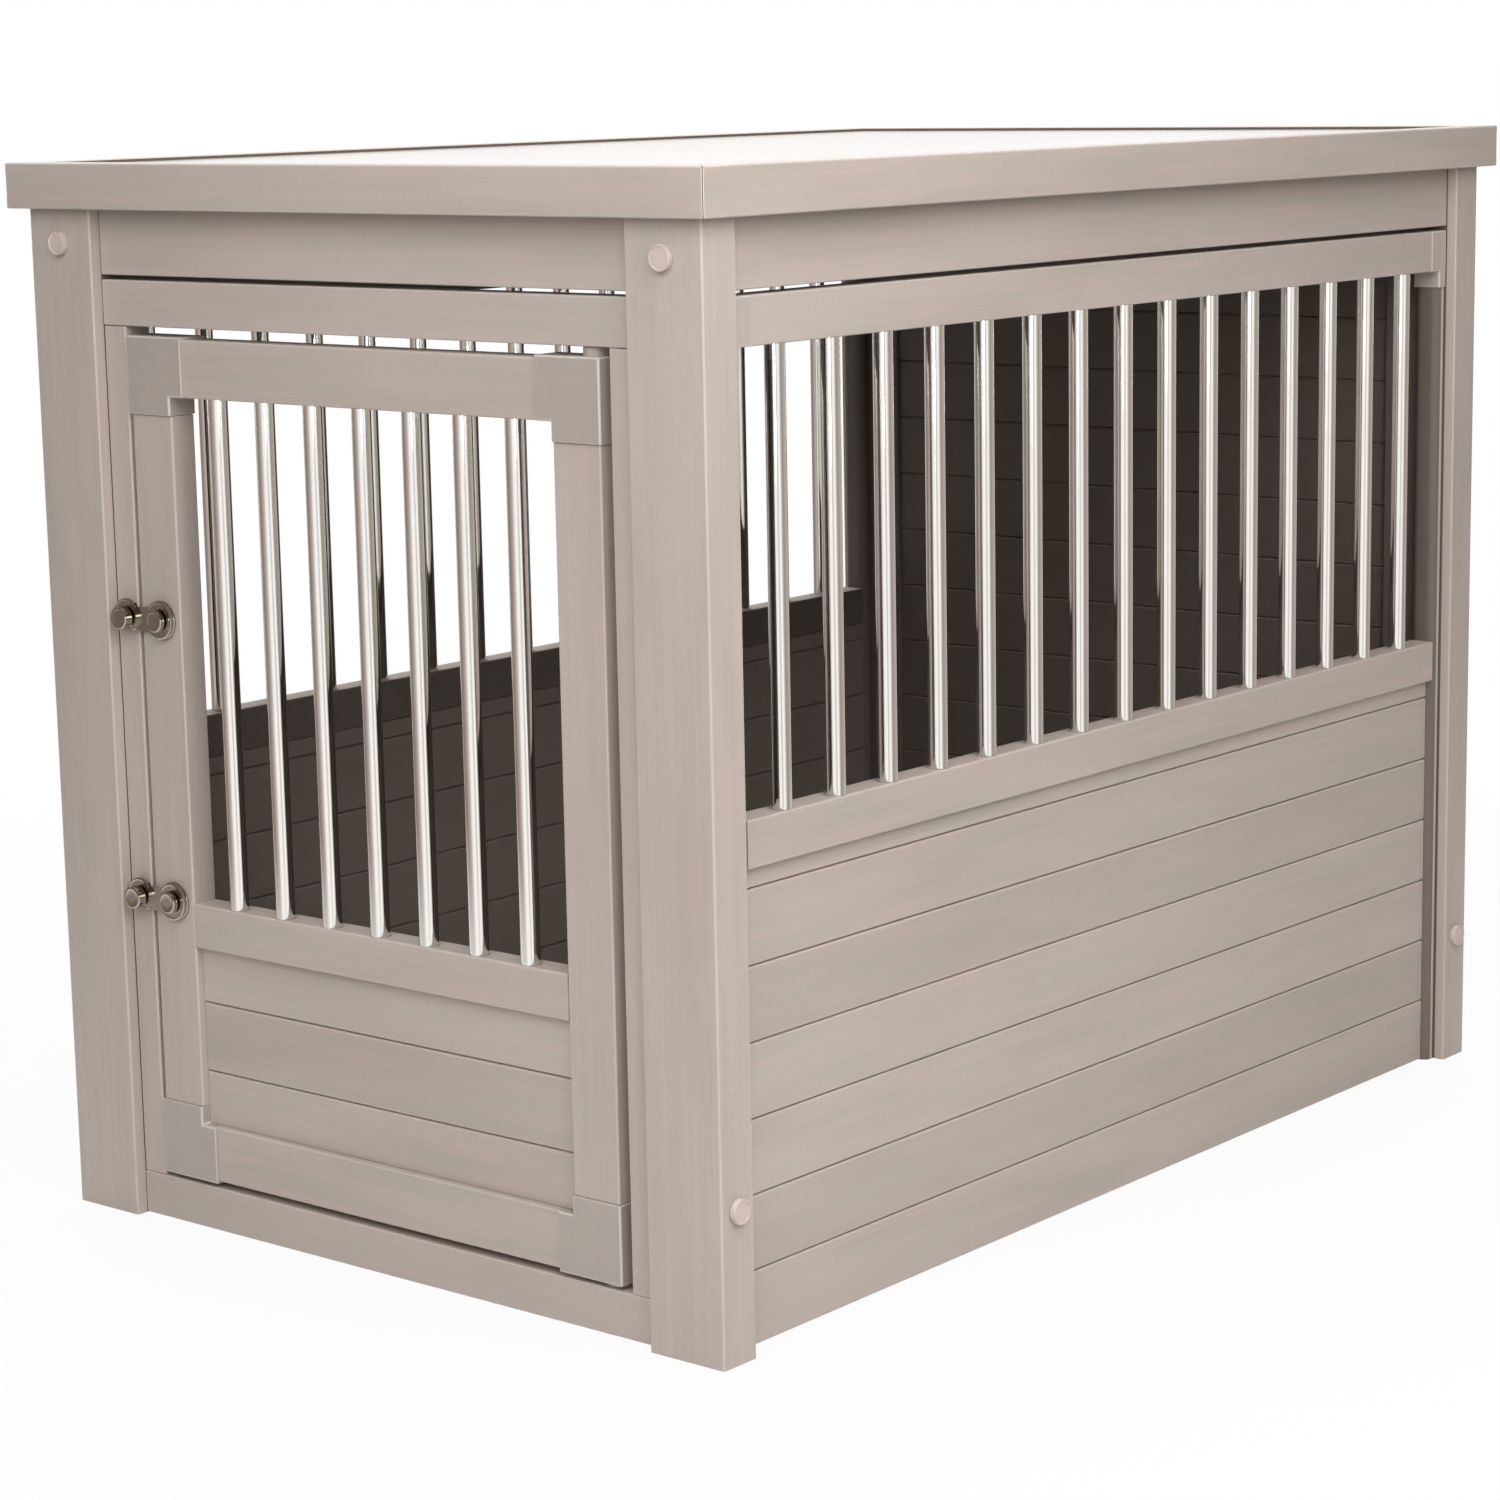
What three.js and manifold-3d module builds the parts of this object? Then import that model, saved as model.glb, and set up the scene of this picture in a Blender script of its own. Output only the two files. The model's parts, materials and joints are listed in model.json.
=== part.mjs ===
// Dog crate end table. Composite boards make a table whose inside is a crate: the two long
// sides have a window of stainless tubes over tongue-and-groove slats, the back is slatted all
// the way up, and one end has a barred door on pivot pins, held shut by two swing hooks.
// Millimetres. +Z is up, +X the right long side, -Y the door end. The origin is on the ground
// under the middle of the table.
import * as THREE from "three";
import { mergeVertices } from "three/addons/utils/BufferGeometryUtils.js";
import Module from "manifold-3d";

const wasm = await Module();
wasm.setup();

// ---- table top
const TABLE_HEIGHT = 680;
const TOP_WIDTH = 575;
const TOP_LENGTH = 878;
const TOP_EDGE_HEIGHT = 28.5;
const TOP_OVERHANG = 10;
const TOP_RIM_WIDTH = 18;
const TOP_RIM_STEP = 2;
const TOP_LEDGE_WIDTH = 22;
const TOP_LEDGE_HEIGHT = 12;

// ---- posts and boards
const POST_WIDTH = 56;
const POST_DEPTH = 29;
const POST_FOOT = 8;
const BOARD_WALL = 3;
const EDGE_RADIUS = 2;
const FRAME_RECESS = 8;
const FRAME_DEPTH = 19;
const APRON_HEIGHT = 41;
const APRON_GAP = 3;
const RAIL_HEIGHT = 28.5;
const GROUND_GAP = 0.5;

// ---- slats, tongue and groove
const SLAT_PITCH = 45.2;
const SLAT_THICKNESS = 12.5;
const SLAT_RECESS = 5.5;
const SEAM_HEIGHT = 3;
const SEAM_DEPTH = 2;

// ---- long sides
const SIDE_MID_RAIL_TOP = 313;
const SIDE_STILE_WIDTH = 10;
const CORNER_WIDTH = 20.5;
const CORNER_DROP = 11.5;
const CORNER_PROUD = 0.8;
const SIDE_TUBE_PITCH = 50;
const SIDE_TUBE_END_GAP = 40;

// ---- tubes
const TUBE_DIAMETER = 12;
const TUBE_WALL = 1;
const TUBE_COVER = 1;
const TUBE_HEAD_SEAT = 6;
const STRIP_HEIGHT = 2;
const STRIP_SIDE_GAP = 1;

// ---- floor
const FLOOR_BOTTOM = 4;
const FLOOR_THICKNESS = 12;
const FLOOR_GROOVE = 3;

// ---- door end frame and door
const END_STILE_WIDTH = 20;
const LATCH_SIDE_GAP = 1.5;
const SWING_CLEARANCE = 2;
const DOOR_BOTTOM_GAP = 3;
const DOOR_TOP_GAP = 5.5;
const DOOR_BOARD_WIDTH = 36;
const DOOR_MID_RAIL_TOP = 214.5;
const DOOR_TOP_SLAT = 36.5;
const DOOR_TUBE_COUNT = 7;
const DOOR_TUBE_END_GAP = 35.5;
const ELBOW_REACH = 11.5;
const ELBOW_PROUD = 1.5;
const SPIGOT_LENGTH = 14;

// ---- door pivots
const PIVOT_INSET = 11;
const PIVOT_BOSS_DIAMETER = 15;
const PIVOT_PIN_DIAMETER = 8;
const PIVOT_PIN_LENGTH = 12;

// ---- latches
const LATCH_SPACING = 181;
const HOOK_POST_GAP = 0.5;
const HOOK_PIVOT_INSET = 21;
const HOOK_LOBE_RADIUS = 12;
const HOOK_SHOULDER = 4.25;
const HOOK_THICKNESS = 2;
const HOOK_LIP = 2;
const HOOK_FLARE = 1.2;
const STUD_SHANK_DIAMETER = 4;
const STUD_SHANK_LENGTH = 8;
const STUD_NECK_DIAMETER = 7;
const STUD_HEAD_DIAMETER = 16;
const STUD_CUP_DIAMETER = 12;
const STUD_CUP_DEPTH = 1.2;
const STUD_WASHER_THICKNESS = 2;
const PIVOT_WASHER_DIAMETER = 25;
const KEEPER_WASHER_DIAMETER = 14;
const PIVOT_HEAD_HEIGHT = 4;
const KEEPER_HEAD_HEIGHT = 6.5;

// ---- plugs over the post bolts
const PLUG_DIAMETER = 15;
const PLUG_PROUD = 4;
const PLUG_STEM_DIAMETER = 9;
const PLUG_STEM_LENGTH = 6;
const END_PLUG_DROP = 21.5;
const SIDE_PLUG_HEIGHT = 92;

// FIT is the clearance between two pieces that meet. A cut runs past what it cuts by CUT.
const FIT = 0.3;
const CUT = 1;
const TUBE_SIDES = 8;
const ROUND_SIDES = 16;

// ---- places worked out from the sizes above
const bodyHalfWidth = TOP_WIDTH / 2 - TOP_OVERHANG;
const bodyHalfLength = TOP_LENGTH / 2 - TOP_OVERHANG;
const postTop = TABLE_HEIGHT - TOP_EDGE_HEIGHT;
const apronBottom = postTop - APRON_HEIGHT;
const frameTop = apronBottom - APRON_GAP;
const railBottom = frameTop - RAIL_HEIGHT;
const bayHalfWidth = bodyHalfWidth - POST_WIDTH;
const bayHalfLength = bodyHalfLength - POST_DEPTH;
const sideFace = bodyHalfWidth - FRAME_RECESS;
const sideInner = sideFace - FRAME_DEPTH;
const endFace = bodyHalfLength - FRAME_RECESS;
const endInner = endFace - FRAME_DEPTH;
const tubeRadius = TUBE_DIAMETER / 2;
const tubeSetback = tubeRadius + TUBE_COVER;
const midRailBottom = SIDE_MID_RAIL_TOP - RAIL_HEIGHT;
const sideBayHalf = bayHalfLength - SIDE_STILE_WIDTH;
const sideSlatFace = sideFace - SLAT_RECESS;
const sideSlatBack = sideSlatFace - SLAT_THICKNESS;
const backSlatFace = endFace - SLAT_RECESS;
const backSlatBack = backSlatFace - SLAT_THICKNESS;
const floorTop = FLOOR_BOTTOM + FLOOR_THICKNESS;
const sillTop = GROUND_GAP + RAIL_HEIGHT;
const openingHalf = bayHalfWidth - END_STILE_WIDTH;
const doorLeft = -openingHalf + LATCH_SIDE_GAP;
const swingRadius = Math.hypot(PIVOT_INSET, FRAME_DEPTH / 2 + ELBOW_PROUD);
const pivotX = openingHalf - SWING_CLEARANCE - swingRadius;
const pivotY = -endFace + FRAME_DEPTH / 2;
const doorRight = pivotX + PIVOT_INSET;
const doorBottom = sillTop + DOOR_BOTTOM_GAP;
const doorTop = railBottom - DOOR_TOP_GAP;
const elbowWidth = DOOR_BOARD_WIDTH + ELBOW_PROUD;
const elbowArm = elbowWidth + ELBOW_REACH;
const doorBayLeft = doorLeft + elbowWidth;
const doorBayRight = doorRight - elbowWidth;
const doorBayBottom = doorBottom + elbowWidth;
const doorBayTop = doorTop - elbowWidth;
const doorMidRailBottom = DOOR_MID_RAIL_TOP - RAIL_HEIGHT;
const keeperX = -bayHalfWidth + HOOK_POST_GAP + HOOK_LOBE_RADIUS;
const hookPivotX = doorLeft + HOOK_PIVOT_INSET;
const hookBack = STUD_WASHER_THICKNESS + FIT;
const headBack = hookBack + HOOK_THICKNESS + FIT;
const latchHeights = { lower: DOOR_MID_RAIL_TOP, upper: DOOR_MID_RAIL_TOP + LATCH_SPACING };

// ---- materials
const boards = new THREE.MeshStandardMaterial({ color: "#a89c92", roughness: 0.6, metalness: 0 });
const topBoards = new THREE.MeshStandardMaterial({ color: "#b3a79d", roughness: 0.4, metalness: 0 });
const mouldings = new THREE.MeshStandardMaterial({ color: "#9b928c", roughness: 0.5, metalness: 0 });
const plugPlastic = new THREE.MeshStandardMaterial({ color: "#c2b3aa", roughness: 0.5, metalness: 0 });
const stainless = new THREE.MeshStandardMaterial({ color: "#d8d6d2", roughness: 0.15, metalness: 1 });
const nickel = new THREE.MeshStandardMaterial({ color: "#b9b2a8", roughness: 0.25, metalness: 1 });

// ---- solids
// A closed geometry becomes a solid that can be joined and cut.
function toSolid(geometry) {
  const bare = geometry.index ? geometry.toNonIndexed() : geometry.clone();
  bare.deleteAttribute("normal");
  bare.deleteAttribute("uv");
  const merged = mergeVertices(bare);
  return new wasm.Manifold(new wasm.Mesh({
    numProp: 3,
    vertProperties: new Float32Array(merged.attributes.position.array),
    triVerts: new Uint32Array(merged.index.array),
  }));
}

function toGeometry(solid) {
  const mesh = solid.getMesh();
  const geometry = new THREE.BufferGeometry();
  geometry.setAttribute("position", new THREE.BufferAttribute(mesh.vertProperties, 3));
  geometry.setIndex(new THREE.BufferAttribute(mesh.triVerts, 1));
  geometry.computeVertexNormals();
  return geometry;
}

// The section of a bar along x is drawn in Y and Z, along y in X and Z, along z in X and Y.
const TURN = {
  x: new THREE.Matrix4().set(0, 0, 1, 0, 1, 0, 0, 0, 0, 1, 0, 0, 0, 0, 0, 1),
  y: new THREE.Matrix4().set(1, 0, 0, 0, 0, 0, -1, 0, 0, 1, 0, 0, 0, 0, 0, 1),
  z: new THREE.Matrix4(),
};
const DIRECTION = {
  x: new THREE.Vector3(1, 0, 0),
  y: new THREE.Vector3(0, 1, 0),
  z: new THREE.Vector3(0, 0, 1),
};

function bar(along, [from, to], section, curveSegments = 2) {
  const depth = to - from;
  const geometry = new THREE.ExtrudeGeometry(section, { depth, bevelEnabled: false, curveSegments });
  geometry.translate(0, 0, -depth / 2);
  geometry.applyMatrix4(TURN[along]);
  const middle = DIRECTION[along].clone().multiplyScalar((from + to) / 2);
  geometry.translate(middle.x, middle.y, middle.z);
  return toSolid(geometry);
}

function outline(points) {
  return new THREE.Shape(points.map(([a, b]) => new THREE.Vector2(a, b)));
}

function block([x0, x1], [y0, y1], [z0, z1]) {
  const geometry = new THREE.BoxGeometry(x1 - x0, y1 - y0, z1 - z0);
  geometry.translate((x0 + x1) / 2, (y0 + y1) / 2, (z0 + z1) / 2);
  return toSolid(geometry);
}

function rod(along, [from, to], radius, [a, b] = [0, 0], sides = ROUND_SIDES) {
  const circle = new THREE.Shape();
  circle.absarc(a, b, radius, 0, 2 * Math.PI, false);
  return bar(along, [from, to], circle, sides / 2);
}

// A pair of limits on one side of the middle, in rising order.
function span(side, near, far) {
  return side > 0 ? [near, far] : [-far, -near];
}

function inset([from, to], by) {
  return [from + by, to - by];
}

function roundedSection([a0, a1], [b0, b1], radius) {
  const shape = new THREE.Shape();
  shape.moveTo(a0 + radius, b0);
  shape.lineTo(a1 - radius, b0);
  shape.absarc(a1 - radius, b0 + radius, radius, -Math.PI / 2, 0, false);
  shape.lineTo(a1, b1 - radius);
  shape.absarc(a1 - radius, b1 - radius, radius, 0, Math.PI / 2, false);
  shape.lineTo(a0 + radius, b1);
  shape.absarc(a0 + radius, b1 - radius, radius, Math.PI / 2, Math.PI, false);
  shape.lineTo(a0, b0 + radius);
  shape.absarc(a0 + radius, b0 + radius, radius, Math.PI, 1.5 * Math.PI, false);
  return shape;
}

// An extruded board, hollow from end to end unless solid is asked for.
function board(along, length, a, b, hollow = true) {
  const section = roundedSection(a, b, EDGE_RADIUS);
  if (hollow) {
    const [a0, a1] = inset(a, BOARD_WALL);
    const [b0, b1] = inset(b, BOARD_WALL);
    section.holes.push(outline([[a0, b0], [a0, b1], [a1, b1], [a1, b0]]));
  }
  return bar(along, length, section);
}

function spreadCount([from, to], count) {
  return Array.from({ length: count }, (_, i) => from + ((to - from) * i) / (count - 1));
}

// Places spread evenly between two ends, as near the wanted pitch as the length allows.
function spread([from, to], pitch) {
  const steps = Math.max(1, Math.round((to - from) / pitch));
  return spreadCount([from, to], steps + 1);
}

// Seam heights from the ground up, one slat apart.
function seamsBetween(bottom, top) {
  const seams = [];
  for (let z = bottom + SLAT_PITCH; z < top - SEAM_HEIGHT; z += SLAT_PITCH) {
    seams.push(z);
  }
  return seams;
}

// A face of slats as points going up: flat, with a V at each seam. into is the side the V cuts.
function slatFace(at, into, [bottom, top], seams) {
  const points = [[at, bottom]];
  for (const z of seams) {
    points.push([at, z - SEAM_HEIGHT / 2], [at + into * SEAM_DEPTH, z], [at, z + SEAM_HEIGHT / 2]);
  }
  points.push([at, top]);
  return points;
}

function slatSection(outer, inner, height, seams) {
  const inwards = Math.sign(inner - outer);
  const front = slatFace(outer, inwards, height, seams);
  const back = slatFace(inner, -inwards, height, seams);
  return outline([...front, ...back.reverse()]);
}

// The groove that an edge of the floor slides into, cut in the inner face of an upright panel.
function floorGroove(along, length, side, face) {
  const across = span(side, face - CUT, face + FLOOR_GROOVE);
  const height = [FLOOR_BOTTOM - FIT, floorTop + FIT];
  const past = inset(length, -CUT);
  return along === "y" ? block(across, past, height) : block(past, across, height);
}

// ---- scene
const SIDES = { left: -1, right: 1 };
const ENDS = { front: -1, back: 1 };
const table = new THREE.Group();
const door = new THREE.Group();
door.position.set(pivotX, pivotY, 0);
table.add(door);

function add(parent, name, solid, material, at = [0, 0, 0]) {
  const mesh = new THREE.Mesh(toGeometry(solid), material);
  mesh.name = name;
  mesh.position.set(...at);
  parent.add(mesh);
  return mesh;
}

// The door's pieces are drawn in the table's frame and hung on the pivot line.
function addToDoor(name, solid, material) {
  add(door, name, solid.translate([-pivotX, -pivotY, 0]), material);
}

// ---- top: four mitred edge boards with a ledge inside, and the panel that lies on the ledge
function edgeBoard(along, side, outerHalf, lengthHalf) {
  const rimInner = outerHalf - TOP_RIM_WIDTH;
  const ledgeInner = rimInner - TOP_LEDGE_WIDTH;
  const ledgeTop = postTop + TOP_LEDGE_HEIGHT;
  const section = outline([
    [side * ledgeInner, postTop],
    [side * outerHalf, postTop],
    [side * outerHalf, TABLE_HEIGHT],
    [side * rimInner, TABLE_HEIGHT],
    [side * rimInner, ledgeTop],
    [side * ledgeInner, ledgeTop],
  ]);
  const mitreInset = TOP_RIM_WIDTH + TOP_LEDGE_WIDTH;
  const outerEnd = lengthHalf - FIT;
  const innerEnd = outerEnd - mitreInset;
  const plan = [
    [side * outerHalf, -outerEnd],
    [side * outerHalf, outerEnd],
    [side * ledgeInner, innerEnd],
    [side * ledgeInner, -innerEnd],
  ];
  const planPoints = along === "y" ? plan : plan.map(([a, b]) => [b, a]);
  const mitres = bar("z", [postTop - CUT, TABLE_HEIGHT + CUT], outline(planPoints));
  return bar(along, [-lengthHalf, lengthHalf], section).intersect(mitres);
}

function addTop() {
  const halfWidth = TOP_WIDTH / 2;
  const halfLength = TOP_LENGTH / 2;
  add(table, "top_edge_right", edgeBoard("y", 1, halfWidth, halfLength), boards);
  add(table, "top_edge_left", edgeBoard("y", -1, halfWidth, halfLength), boards);
  add(table, "top_edge_back", edgeBoard("x", 1, halfLength, halfWidth), boards);
  add(table, "top_edge_front", edgeBoard("x", -1, halfLength, halfWidth), boards);
  const panelHalfWidth = halfWidth - TOP_RIM_WIDTH - FIT;
  const panelHalfLength = halfLength - TOP_RIM_WIDTH - FIT;
  const panel = block(
    [-panelHalfWidth, panelHalfWidth],
    [-panelHalfLength, panelHalfLength],
    [postTop + TOP_LEDGE_HEIGHT + FIT, TABLE_HEIGHT - TOP_RIM_STEP],
  );
  add(table, "top_panel", panel, topBoards);
}

// ---- posts: hollow, closed at the foot, drilled for the plugs
function post(sideX, sideY) {
  const x = span(sideX, bayHalfWidth, bodyHalfWidth);
  const y = span(sideY, bayHalfLength, bodyHalfLength);
  const height = [0, postTop - FIT];
  const hollow = block(inset(x, BOARD_WALL), inset(y, BOARD_WALL), [POST_FOOT, postTop]);
  let solid = board("z", height, x, y, false).subtract(hollow);
  const holeRadius = PLUG_STEM_DIAMETER / 2 + FIT;
  const middleX = sideX * (bodyHalfWidth - POST_WIDTH / 2);
  const middleY = sideY * (bodyHalfLength - POST_DEPTH / 2);
  const sideHole = span(sideX, bodyHalfWidth - POST_WIDTH / 2, bodyHalfWidth + CUT);
  solid = solid.subtract(rod("x", sideHole, holeRadius, [middleY, SIDE_PLUG_HEIGHT], TUBE_SIDES));
  if (sideY < 0) {
    const endHole = span(sideY, bodyHalfLength - POST_DEPTH / 2, bodyHalfLength + CUT);
    solid = solid.subtract(rod("y", endHole, holeRadius, [middleX, postTop - END_PLUG_DROP], TUBE_SIDES));
  }
  return solid;
}

// A plug pushes into its hole along an axis: a proud round head on a stem.
function plug(along, side) {
  const head = rod(along, span(side, FIT, PLUG_PROUD), PLUG_DIAMETER / 2);
  const stemLength = span(side, -PLUG_STEM_LENGTH, PLUG_PROUD / 2);
  const stem = rod(along, stemLength, PLUG_STEM_DIAMETER / 2, [0, 0], TUBE_SIDES);
  return head.add(stem);
}

function addPosts() {
  for (const [endName, end] of Object.entries(ENDS)) {
    for (const [sideName, side] of Object.entries(SIDES)) {
      add(table, `post_${endName}_${sideName}`, post(side, end), boards);
      const middleY = end * (bodyHalfLength - POST_DEPTH / 2);
      const sideAt = [side * bodyHalfWidth, middleY, SIDE_PLUG_HEIGHT];
      add(table, `plug_side_${endName}_${sideName}`, plug("x", side), plugPlastic, sideAt);
    }
  }
  for (const [sideName, side] of Object.entries(SIDES)) {
    const at = [side * (bodyHalfWidth - POST_WIDTH / 2), -bodyHalfLength, postTop - END_PLUG_DROP];
    add(table, `plug_front_${sideName}`, plug("y", -1), plugPlastic, at);
  }
}

// ---- aprons: one board under each edge of the top, between the posts
function addAprons() {
  const height = [apronBottom, postTop - FIT];
  for (const [sideName, side] of Object.entries(SIDES)) {
    const length = [-bayHalfLength + FIT, bayHalfLength - FIT];
    add(table, `apron_${sideName}`, board("y", length, span(side, sideInner, sideFace), height), boards);
  }
  for (const [endName, end] of Object.entries(ENDS)) {
    const length = [-bayHalfWidth + FIT, bayHalfWidth - FIT];
    add(table, `apron_${endName}`, board("x", length, span(end, endInner, endFace), height), boards);
  }
}

// ---- tubes
function tube([x, y], [bottom, top]) {
  const ring = new THREE.Shape();
  ring.absarc(x, y, tubeRadius, 0, 2 * Math.PI, false);
  const bore = new THREE.Path();
  bore.absarc(x, y, tubeRadius - TUBE_WALL, 0, 2 * Math.PI, true);
  ring.holes.push(bore);
  return bar("z", [bottom, top], ring, TUBE_SIDES / 2);
}

function tubeHoles(places, height) {
  const holes = places.map((at) => rod("z", height, tubeRadius + FIT, at, TUBE_SIDES));
  return holes.reduce((all, hole) => all.add(hole));
}

// ---- long sides: rails and end stiles round a window of tubes, with slats below
function sideTubePlaces(side) {
  const x = side * (sideFace - tubeSetback);
  const ends = [-sideBayHalf + SIDE_TUBE_END_GAP, sideBayHalf - SIDE_TUBE_END_GAP];
  return spread(ends, SIDE_TUBE_PITCH).map((y) => [x, y]);
}

// The tubes of one side hang on a strip that lies in the hollow of the top rail, and their feet
// stand in the hollow of the middle rail.
const stripBottom = railBottom + BOARD_WALL + FIT;
const sideTubeHeight = [midRailBottom + BOARD_WALL + 2 * FIT, stripBottom + STRIP_HEIGHT / 2];

function tubeComb(side, places) {
  const tubes = places.map((at) => tube(at, sideTubeHeight));
  const hollow = span(side, sideInner + BOARD_WALL, sideFace - BOARD_WALL);
  const strip = block(
    inset(hollow, STRIP_SIDE_GAP),
    [places[0][1] - tubeRadius, places.at(-1)[1] + tubeRadius],
    [stripBottom, stripBottom + STRIP_HEIGHT],
  );
  return tubes.reduce((all, one) => all.add(one), strip);
}

// An end stile with the moulded corner on its head, whose spigot fills the end of the top rail.
function sideEndStile(side, end) {
  const x = span(side, sideInner, sideFace);
  const stileY = span(end, sideBayHalf, bayHalfLength - FIT);
  const cornerY = span(end, bayHalfLength - CORNER_WIDTH, bayHalfLength - FIT);
  const proud = span(side, sideInner - CORNER_PROUD, sideFace + CORNER_PROUD);
  const spigotNear = bayHalfLength - CORNER_WIDTH - SPIGOT_LENGTH;
  const spigotY = span(end, spigotNear, bayHalfLength - CORNER_WIDTH + CUT);
  const hollow = BOARD_WALL + FIT;
  return board("z", [GROUND_GAP, railBottom], x, stileY, false)
    .add(block(proud, stileY, [railBottom - CORNER_DROP, railBottom + CUT]))
    .add(block(proud, cornerY, [railBottom, frameTop]))
    .add(block(inset(x, hollow), spigotY, [railBottom + hollow, frameTop - hollow]));
}

function addSide(name, side) {
  const x = span(side, sideInner, sideFace);
  const places = sideTubePlaces(side);
  const topLength = inset([-bayHalfLength, bayHalfLength], CORNER_WIDTH + FIT);
  const midLength = inset([-sideBayHalf, sideBayHalf], FIT);
  const [foot, head] = sideTubeHeight;
  const topHoles = tubeHoles(places, [railBottom - CUT, head + FIT]);
  const midHoles = tubeHoles(places, [foot - FIT, SIDE_MID_RAIL_TOP + CUT]);
  const topRail = board("y", topLength, x, [railBottom, frameTop]).subtract(topHoles);
  const midRail = board("y", midLength, x, [midRailBottom, SIDE_MID_RAIL_TOP]).subtract(midHoles);
  add(table, `side_top_rail_${name}`, topRail, boards);
  add(table, `side_mid_rail_${name}`, midRail, boards);
  add(table, `side_tube_comb_${name}`, tubeComb(side, places), stainless);

  const height = [GROUND_GAP, midRailBottom - FIT];
  const section = slatSection(side * sideSlatFace, side * sideSlatBack, height, seamsBetween(...height));
  const groove = floorGroove("y", midLength, side, sideSlatBack);
  add(table, `side_slats_${name}`, bar("y", midLength, section).subtract(groove), boards);
  for (const [endName, end] of Object.entries(ENDS)) {
    add(table, `side_stile_${endName}_${name}`, sideEndStile(side, end), mouldings);
  }
}

// ---- back: slats all the way up, under a full-depth top rail cut from the same panel
function addBackPanel() {
  const height = [GROUND_GAP, railBottom];
  const seams = seamsBetween(...height);
  const outer = slatFace(backSlatFace, -1, height, seams);
  const inner = slatFace(backSlatBack, 1, height, seams);
  const rail = [[endFace, railBottom], [endFace, frameTop], [endInner, frameTop], [endInner, railBottom]];
  const section = outline([...outer, ...rail, ...inner.reverse()]);
  const length = inset([-bayHalfWidth, bayHalfWidth], FIT);
  const groove = floorGroove("x", length, ENDS.back, backSlatBack);
  add(table, "back_panel", bar("x", length, section).subtract(groove), boards);
}

// ---- floor: planks running from the door to the back, its edges in the grooves around it
function addFloor() {
  const sillEdge = endInner + FLOOR_GROOVE - FIT;
  const backEdge = backSlatBack + FLOOR_GROOVE - FIT;
  const sideEdge = sideSlatBack + FLOOR_GROOVE - FIT;
  const postClear = bayHalfLength - FIT;
  const stileClear = sideBayHalf - 2 * FIT;
  const narrow = bayHalfWidth - 2 * FIT;
  const middle = sideInner - FIT;
  const rightHalf = [
    [narrow, -sillEdge], [narrow, -postClear], [middle, -postClear], [middle, -stileClear],
    [sideEdge, -stileClear], [sideEdge, stileClear], [middle, stileClear], [middle, postClear],
    [narrow, postClear], [narrow, backEdge],
  ];
  const leftHalf = rightHalf.map(([x, y]) => [-x, y]).reverse();
  const plan = bar("z", [FLOOR_BOTTOM, floorTop], outline([...rightHalf, ...leftHalf]));
  const seams = spread([-sideEdge, sideEdge], SLAT_PITCH).slice(1, -1);
  const upper = seams.flatMap((x) => [
    [x - SEAM_HEIGHT / 2, floorTop], [x, floorTop - SEAM_DEPTH], [x + SEAM_HEIGHT / 2, floorTop],
  ]);
  const lower = [[sideEdge + CUT, floorTop], [sideEdge + CUT, FLOOR_BOTTOM - CUT]];
  const farLower = [[-sideEdge - CUT, FLOOR_BOTTOM - CUT], [-sideEdge - CUT, floorTop]];
  const planks = bar("y", [-sillEdge - CUT, backEdge + CUT], outline([...upper, ...lower, ...farLower]));
  add(table, "floor_panel", plan.intersect(planks), boards);
}

// ---- door end: header, sill and two stiles round the doorway
function studHole(x, z) {
  const mouth = [-endFace - CUT, -endFace + STUD_SHANK_LENGTH + CUT];
  return rod("y", mouth, STUD_SHANK_DIAMETER / 2 + FIT, [x, z], TUBE_SIDES);
}

function drillForStuds(solid, x) {
  return Object.values(latchHeights).reduce((left, z) => left.subtract(studHole(x, z)), solid);
}

function addDoorway() {
  const y = [-endFace, -endInner];
  const width = inset([-bayHalfWidth, bayHalfWidth], FIT);
  const holeRadius = PIVOT_PIN_DIAMETER / 2 + FIT;
  const pinHole = PIVOT_PIN_LENGTH + FIT;
  const headerHole = rod("z", [railBottom - CUT, railBottom + pinHole], holeRadius, [pivotX, pivotY]);
  const header = board("x", width, y, [railBottom, frameTop], false).subtract(headerHole);
  add(table, "door_header", header, boards);

  const sill = block(width, y, [GROUND_GAP, sillTop])
    .subtract(floorGroove("x", width, ENDS.front, endInner))
    .subtract(rod("z", [sillTop - pinHole, sillTop + CUT], holeRadius, [pivotX, pivotY]));
  add(table, "door_sill", sill, boards);

  const stileHeight = [sillTop + FIT, railBottom - FIT];
  const stileSpan = [openingHalf, bayHalfWidth - FIT];
  const left = board("z", stileHeight, span(-1, ...stileSpan), y);
  add(table, "doorway_stile_left", drillForStuds(left, keeperX), boards);
  add(table, "doorway_stile_right", board("z", stileHeight, span(1, ...stileSpan), y), boards);
}

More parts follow.
